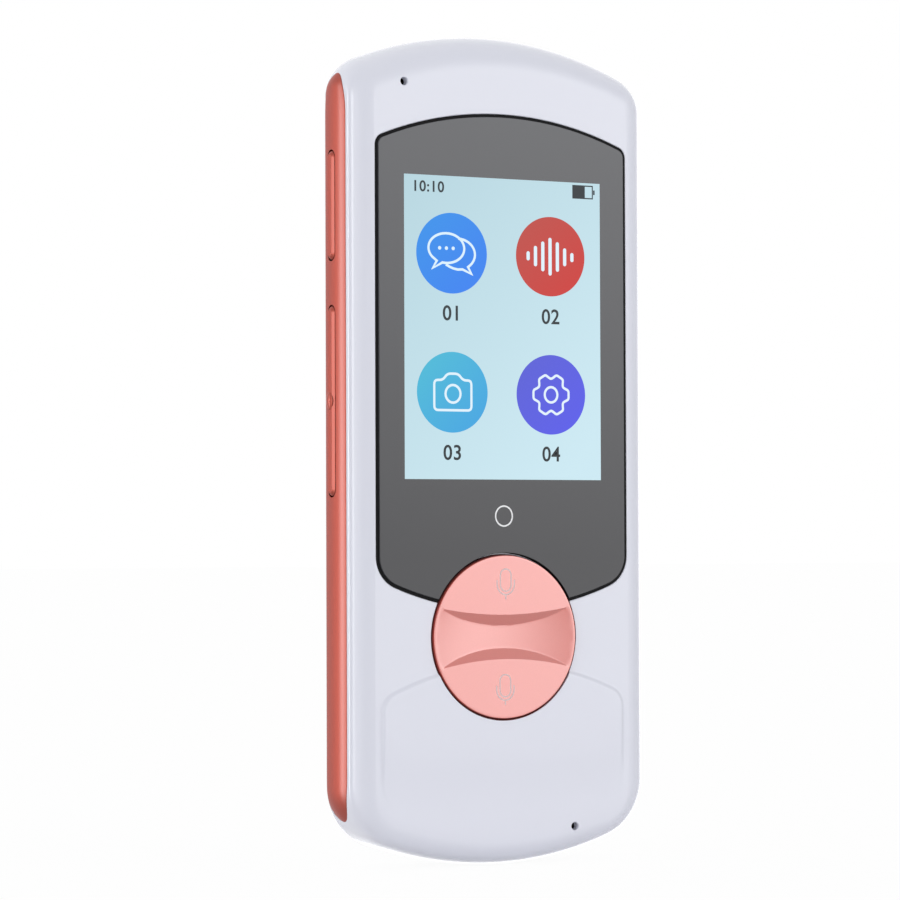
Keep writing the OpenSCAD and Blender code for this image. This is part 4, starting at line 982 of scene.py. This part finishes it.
def number_mesh(text, x, z, size, spread):
    curve = bpy.data.curves.new("number", "FONT")
    curve.body = text
    curve.size = size * MM
    curve.extrude = 0.006 * MM
    curve.align_x, curve.align_y = "CENTER", "CENTER"
    curve.space_character = spread
    curve.offset = 0.05 * MM
    curve.resolution_u = 6
    obj = place("number", curve)
    mesh = plain_mesh(obj)
    bpy.data.objects.remove(obj)
    seat = Matrix.Translation((x * MM, (glass_front_y - 0.012) * MM, z * MM))
    mesh.transform(seat @ Matrix.Rotation(math.pi / 2, 4, "X"))
    return mesh


def build_numbers():
    """A time of day and a number below each disc."""
    made = [number_mesh("10:10", -13.95, 109.55, 2.45, 1.1)]
    for text, (x, _), z in zip(("01", "02", "03", "04"), discs, (89.2, 89.1, 66.7, 66.6)):
        made.append(number_mesh(text, x, z, 3.4, 1.05))
    bm = bmesh.new()
    for mesh in made:
        bm.from_mesh(mesh)
        bpy.data.meshes.remove(mesh)
    mesh = bpy.data.meshes.new("screen_numbers")
    bm.to_mesh(mesh)
    bm.free()
    fit_piece(clad(place("screen_numbers", mesh), number_dark), "casing", "display_glass")


# ---- Language dial ----
saddle_depth, saddle_half_w, saddle_reach = 1.2, 11.9, 12.8
saddle_lip, saddle_foot = 3.6, 1.85
saddle_bow = {1: 1.15, -1: 1.42}
saddle_r = (saddle_half_w ** 2 + saddle_depth ** 2) / (2 * saddle_depth)
lip_r = {side: (saddle_half_w ** 2 + bow ** 2) / (2 * bow) for side, bow in saddle_bow.items()}
lip_slope = (saddle_lip - saddle_foot) / saddle_depth
rim_round = 0.12
print_t = 0.01
face_y = dial_front_y + print_t
# Below this level the knob's side turns dark maroon, painted shade for the gap round it, and widens to the
# next radius to fill that gap
gap_shade_y = front_y + 0.05
gap_fill_r = 13.33
dial_steps = 240


def saddle_floor(x, z):
    """Part of a cylinder, stretched so that it comes up to the face along the rim."""
    across_x = x * saddle_half_w / np.sqrt(saddle_reach ** 2 - np.minimum(z * z, 30.0))
    return np.sqrt(np.maximum(saddle_r ** 2 - across_x ** 2, 0)) - (saddle_r - saddle_depth)


def saddle_wall(x, z):
    """The two curved walls, as depths that grow away from their lips."""
    from_lip = [np.hypot(x, z - s * (saddle_lip + lip_r[s])) - lip_r[s] for s in (1, -1)]
    return np.minimum(*from_lip) / lip_slope


def dial_depth(flat):
    """How deep the saddle is at points of the dial, with its foot a little rounded."""
    x, z = flat[:, 0], flat[:, 1] - dial_z
    floor = np.maximum(saddle_floor(x, z), 0)
    wall = np.maximum(saddle_wall(x, z), 0)
    k = 0.06
    h = np.clip(0.5 + 0.5 * (floor - wall) / k, 0, 1)
    low = floor * (1 - h) + wall * h - k * h * (1 - h)
    return np.clip(low, 0, None)


def saddle_lines():
    """Lines along each wall of the saddle, from its lip to its foot and a little past it."""
    lines = []
    xs = np.linspace(-saddle_half_w, saddle_half_w, 121)
    for side in (1, -1):
        for share in (0.0, 0.05, 0.2, 0.45, 0.7, 0.88, 1.0, 1.12, 1.3):
            zs = np.zeros(len(xs))
            for _ in range(3):
                rho = lip_r[side] + lip_slope * saddle_floor(xs, zs) * share
                zs = side * (saddle_lip + lip_r[side] - np.sqrt(rho ** 2 - xs ** 2))
            line = [(x, dial_z + z) for x, z in zip(xs, zs)]
            lines.append((line if share == 0 else line[3:-3], False))
    return lines


def dial_knob():
    """The pressed face with its saddle, on the turned side and flange of the knob."""
    outer = circle(0, dial_z, dial_r - rim_round, dial_steps)
    loops = [(circle(0, dial_z, dial_r - rim_round - 0.3, dial_steps), True)] + saddle_lines()
    grid = np.array([(x, z) for x in np.linspace(-12.6, 12.6, 43) for z in np.linspace(-4.2, 4.2, 15)])
    on_floor = saddle_wall(*grid.T) > np.maximum(saddle_floor(*grid.T), 0) + 0.05
    extra = [(x, dial_z + z) for x, z in grid[on_floor & (np.hypot(*grid.T) < saddle_reach - 0.15)]]
    flat, sheet, depth = relief(outer, loops, extra, dial_depth)
    points = [(x, face_y + d, z) for (x, z), d in zip(flat, depth)]
    faces = [list(f) for f in sheet]
    turns = [math.pi / 2 * i / 6 for i in range(7)]
    profile = [(dial_r - rim_round * (1 - math.sin(a)), face_y + rim_round * (1 - math.cos(a)))
               for a in turns]
    profile += [(dial_r, gap_shade_y), (gap_fill_r, gap_shade_y + 0.05), (gap_fill_r, -3.95), (flange_r, -3.95),
                (flange_r, -3.2), (13, -3.2)]
    rings = [at_y(circle(0, dial_z, r, dial_steps), y) for r, y in profile]
    first = len(points)
    points += [p for r in rings for p in r]
    faces += [[first + i for i in f] for f in loft_faces(len(rings), dial_steps, first_cap=False)]
    return piece("dial_knob", points, faces)


def build_dial():
    knob = dial_knob()
    join_shape(knob, across("pivot_bore", circle(dial_pivot_y, dial_z, 0.65, 32), -15.8, 15.8))
    clad(soften(knob, 24), dial_rose, dark_base_gap_shade)
    # The knob's side below its rim and its flange are dark maroon: a dark base, and painted shade in the gap
    # round the dial
    for polygon in knob.data.polygons:
        x, y, z = polygon.center / MM
        polygon.material_index = int(y > gap_shade_y and math.hypot(x, z - dial_z) > dial_r - rim_round)
    fit_piece(knob, "dial", "rose_plastic", "language_dial")
    # A microphone sign on each half: a capsule, its cradle and its foot
    marks = Sheet(dial_front_y, dial_front_y + 0.02)
    for x, z in ((0.05, dial_z + 8.7), (-0.1, dial_z - 8.4)):
        marks.line(stadium(x, z + 0.5, 2.0, 3.6, 14), 0.24, True)
        cradle = oval(x, z - 0.1, 1.62, 1.75, 180, 360, 28)
        marks.line([(x - 1.62, z + 0.55)] + cradle + [(x + 1.62, z + 0.55)], 0.24)
        marks.line([(x, z - 1.99), (x, z - 2.6)], 0.24)
    marks.fit("dial_marks", "dial", "rose_plastic", mark_silver)


# ---- Camera and flash on the back ----
def open_ring(obj):
    """A turned solid made a ring: its end faces are taken off and its two rims joined."""
    bm = bmesh.new()
    bm.from_mesh(obj.data)
    caps = [f for f in bm.faces if len(f.verts) > 8]
    bmesh.ops.delete(bm, geom=caps, context="FACES_ONLY")
    bmesh.ops.bridge_loops(bm, edges=[e for e in bm.edges if e.is_boundary])
    bmesh.ops.recalc_face_normals(bm, faces=bm.faces)
    bm.to_mesh(obj.data)
    bm.free()
    return obj


def from_back(name, profile, x, steps):
    """A turned solid, from pairs of a radius and a depth below the back."""
    return turned(name, [(r, back_y - depth) for r, depth in profile], x, camera_z, steps)


def build_camera():
    bezel_r, pane_r, lens_r = camera_ring_r, camera_window_r, flash_r
    bezel = open_ring(from_back("camera_bezel", [
        (2.9, 1.6), (5.2, 1.6), (5.2, 1.3), (bezel_r, 1.3), (bezel_r, 0.2), (4.34, 0.1), (4.2, 0.05),
        (3.85, 0.05), (3.65, 0.12), (3.45, 0.35), (3.45, 1.0), (2.9, 1.0)], camera_x, 128))
    clad(soften(bezel, 40), rose_metal)
    fit_piece(bezel, "casing", "rose_metal", "camera_ring")
    pane = from_back("camera_pane", [
        (0.02, 1.0), (pane_r, 1.0), (pane_r, 0.42), (3.36, 0.38), (1.75, 0.38), (1.7, 0.5), (1.5, 0.62),
        (1.1, 0.56), (0.55, 0.48), (0.02, 0.45)], camera_x, 96)
    clad(soften(pane, 40), black_gloss)
    fit_piece(pane, "casing", "black_gloss", "camera_window")
    lens = from_back("flash_lens", [
        (0.02, 7.25), (lens_r, 7.25), (lens_r, 1.7), (2.0, 1.7), (2.0, 1.3), (lens_r, 1.3), (lens_r, 0.16),
        (1.34, 0.1), (1.1, 0.1), (1.05, 0.16), (0.8, 0.16), (0.75, 0.1), (0.4, 0.1), (0.02, 0.12)],
        flash_x, 64)
    clad(soften(lens, 30), clear_plastic)
    fit_piece(lens, "casing", "clear_plastic", "flash_light_guide")


build_front_shell()
build_back_cover()
build_trim("left_trim_strip", -1, "left_trim")
build_trim("right_trim_strip", 1, "right_trim")
build_keys()
build_glass()
build_picture()
build_dial()
build_camera()


# ---- Floor, light and camera ----
# Soft lights round the object: name, bearing from the front toward the right, height, sharpness,
# how many times taller than wide, and strength
soft_lights = (
    ("front_light", 36.0, 8.0, 14.0, 1.0, 3.0),
    ("edge_light", -132.0, 0.0, 230.0, 3.0, 8.5),
    ("side_light", -58.0, -2.0, 9.0, 1.0, 1.9),
    ("key_light", -76.0, 3.0, 110.0, 2.0, 5.0),
    ("back_light", 180.0, 50.0, 2.0, 1.0, 0.50),
    ("right_light", 138.0, -12.0, 12.0, 1.0, 1.8),
)


def toward(bearing, height):
    b, h = math.radians(bearing), math.radians(height)
    return (math.sin(b) * math.cos(h), -math.cos(b) * math.cos(h), math.sin(h))


def lobe_group():
    """The glow of one soft light, from the direction looked in."""
    g, i, o = effect("soft_lobe", [
        ("Direction", VECTOR, (0.0, 0.0, 1.0)), ("Toward", VECTOR, (0.0, 0.0, 1.0)),
        ("Sharpness", FLOAT, 4.0), ("Strength", FLOAT, 1.0), ("Squash", VECTOR, (1.0, 1.0, 1.0))],
        [("Level", FLOAT)])
    unit = vector_node(g, "NORMALIZE", vector_node(g, "MULTIPLY", i["Direction"], i["Squash"]))
    dot = vector_node(g, "DOT_PRODUCT", unit, i["Toward"], output="Value")
    away = math_node(g, "SUBTRACT", dot, 1.0)
    fall = math_node(g, "EXPONENT", math_node(g, "MULTIPLY", away, i["Sharpness"]))
    g.links.new(math_node(g, "MULTIPLY", fall, i["Strength"]), o["Level"])
    return g


def dome_group():
    """An even glow that fades from the horizon to the zenith and to the ground."""
    g, i, o = effect("dome", [
        ("Direction", VECTOR, (0.0, 0.0, 1.0)), ("Horizon", FLOAT, 0.8), ("Zenith", FLOAT, 0.4),
        ("Ground", FLOAT, 0.6)], [("Level", FLOAT)])
    up = put(g, "ShaderNodeSeparateXYZ", {0: i["Direction"]}).outputs["Z"]
    end = mix_node(g, math_node(g, "LESS_THAN", up, 0.0), i["Zenith"], i["Ground"])
    g.links.new(mix_node(g, math_node(g, "ABSOLUTE", up), i["Horizon"], end), o["Level"])
    return g


def mix_shaders(tree, factor, first, second):
    return put(tree, "ShaderNodeMixShader", {"Fac": factor, 1: first, 2: second}).outputs["Shader"]


def build_floor():
    mesh = bpy.data.meshes.new("floor")
    size = 6.0
    mesh.from_pydata([(x, z, 0) for x, z in centred(0, 0, size, size)], [], [(0, 1, 2, 3)])
    floor = place("floor", mesh)
    material = bpy.data.materials.new("floor_white")
    material.use_nodes = True
    tree = material.node_tree
    shader = tree.nodes["Principled BSDF"]
    shader.inputs["Base Color"].default_value = (0.9, 0.9, 0.9, 1)
    shader.inputs["Roughness"].default_value = 0.9
    shader.inputs["Specular IOR Level"].default_value = 0.0
    glow = put(tree, "ShaderNodeEmission", {"Strength": 1.012}).outputs["Emission"]
    path = put(tree, "ShaderNodeLightPath", {}).outputs
    share = math_node(tree, "MULTIPLY", path["Is Camera Ray"], 0.94)
    seen = mix_shaders(tree, share, shader.outputs["BSDF"], glow)
    # Polished pieces look through the floor to the white background and the soft lights in it
    open_way = put(tree, "ShaderNodeBsdfTransparent", {}).outputs["BSDF"]
    passed = mix_shaders(tree, path["Is Glossy Ray"], seen, open_way)
    tree.links.new(passed, tree.nodes["Material Output"].inputs["Surface"])
    mesh.materials.append(material)


def build_studio():
    """The dome and the soft lights, white behind all that is polished or seen past the object."""
    world = bpy.data.worlds.new("studio")
    bpy.context.scene.world = world
    world.use_nodes = True
    tree = world.node_tree
    tree.nodes.clear()
    ahead = put(tree, "ShaderNodeTexCoord", {}).outputs["Generated"]
    path = put(tree, "ShaderNodeLightPath", {}).outputs
    dome = put(tree, "ShaderNodeGroup", {
        "Direction": ahead, "Horizon": 0.46, "Zenith": 0.55, "Ground": 0.46}, node_tree=dome_group())
    polished = math_node(tree, "MAXIMUM", path["Is Glossy Ray"], path["Is Transmission Ray"])
    level = mix_node(tree, polished, dome.outputs["Level"], 1.0)
    lobe = lobe_group()
    for name, bearing, height, sharpness, tall, strength in soft_lights:
        glow = put(tree, "ShaderNodeGroup", {
            "Direction": ahead, "Toward": toward(bearing, height), "Sharpness": sharpness,
            "Strength": strength, "Squash": (1.0, 1.0, 1.0 / tall)}, node_tree=lobe, name=name)
        level = math_node(tree, "ADD", level, glow.outputs["Level"])
    light = put(tree, "ShaderNodeBackground", {"Strength": level})
    white = put(tree, "ShaderNodeBackground", {"Color": (1, 1, 1, 1), "Strength": 1.0})
    seen = mix_shaders(tree, path["Is Camera Ray"], light.outputs["Background"], white.outputs["Background"])
    put(tree, "ShaderNodeOutputWorld", {"Surface": seen})


def build_camera_view():
    right = Vector((0.87411, -0.48571, -0.00342))
    ahead = Vector((0.48563, 0.87379, 0.02557))
    up = Vector((-0.00943, -0.02401, 0.99967))
    shift = Vector((0.008626, 0.576119, 0.019659))
    middle = Vector((0, -0.006, 0.087)) - (right * shift.x + ahead * shift.y + up * shift.z)
    data = bpy.data.cameras.new("camera")
    data.sensor_width = 36.0
    data.lens = 36.0 * 3542.0 / 900.0
    data.clip_start, data.clip_end = 0.01, 20.0
    camera = place("camera", data)
    turn = Matrix((right, up, -ahead)).transposed().to_4x4()
    camera.matrix_world = Matrix.Translation(middle) @ turn
    bpy.context.scene.camera = camera


build_floor()
build_studio()
build_camera_view()
bpy.context.scene.view_settings.view_transform = "Standard"
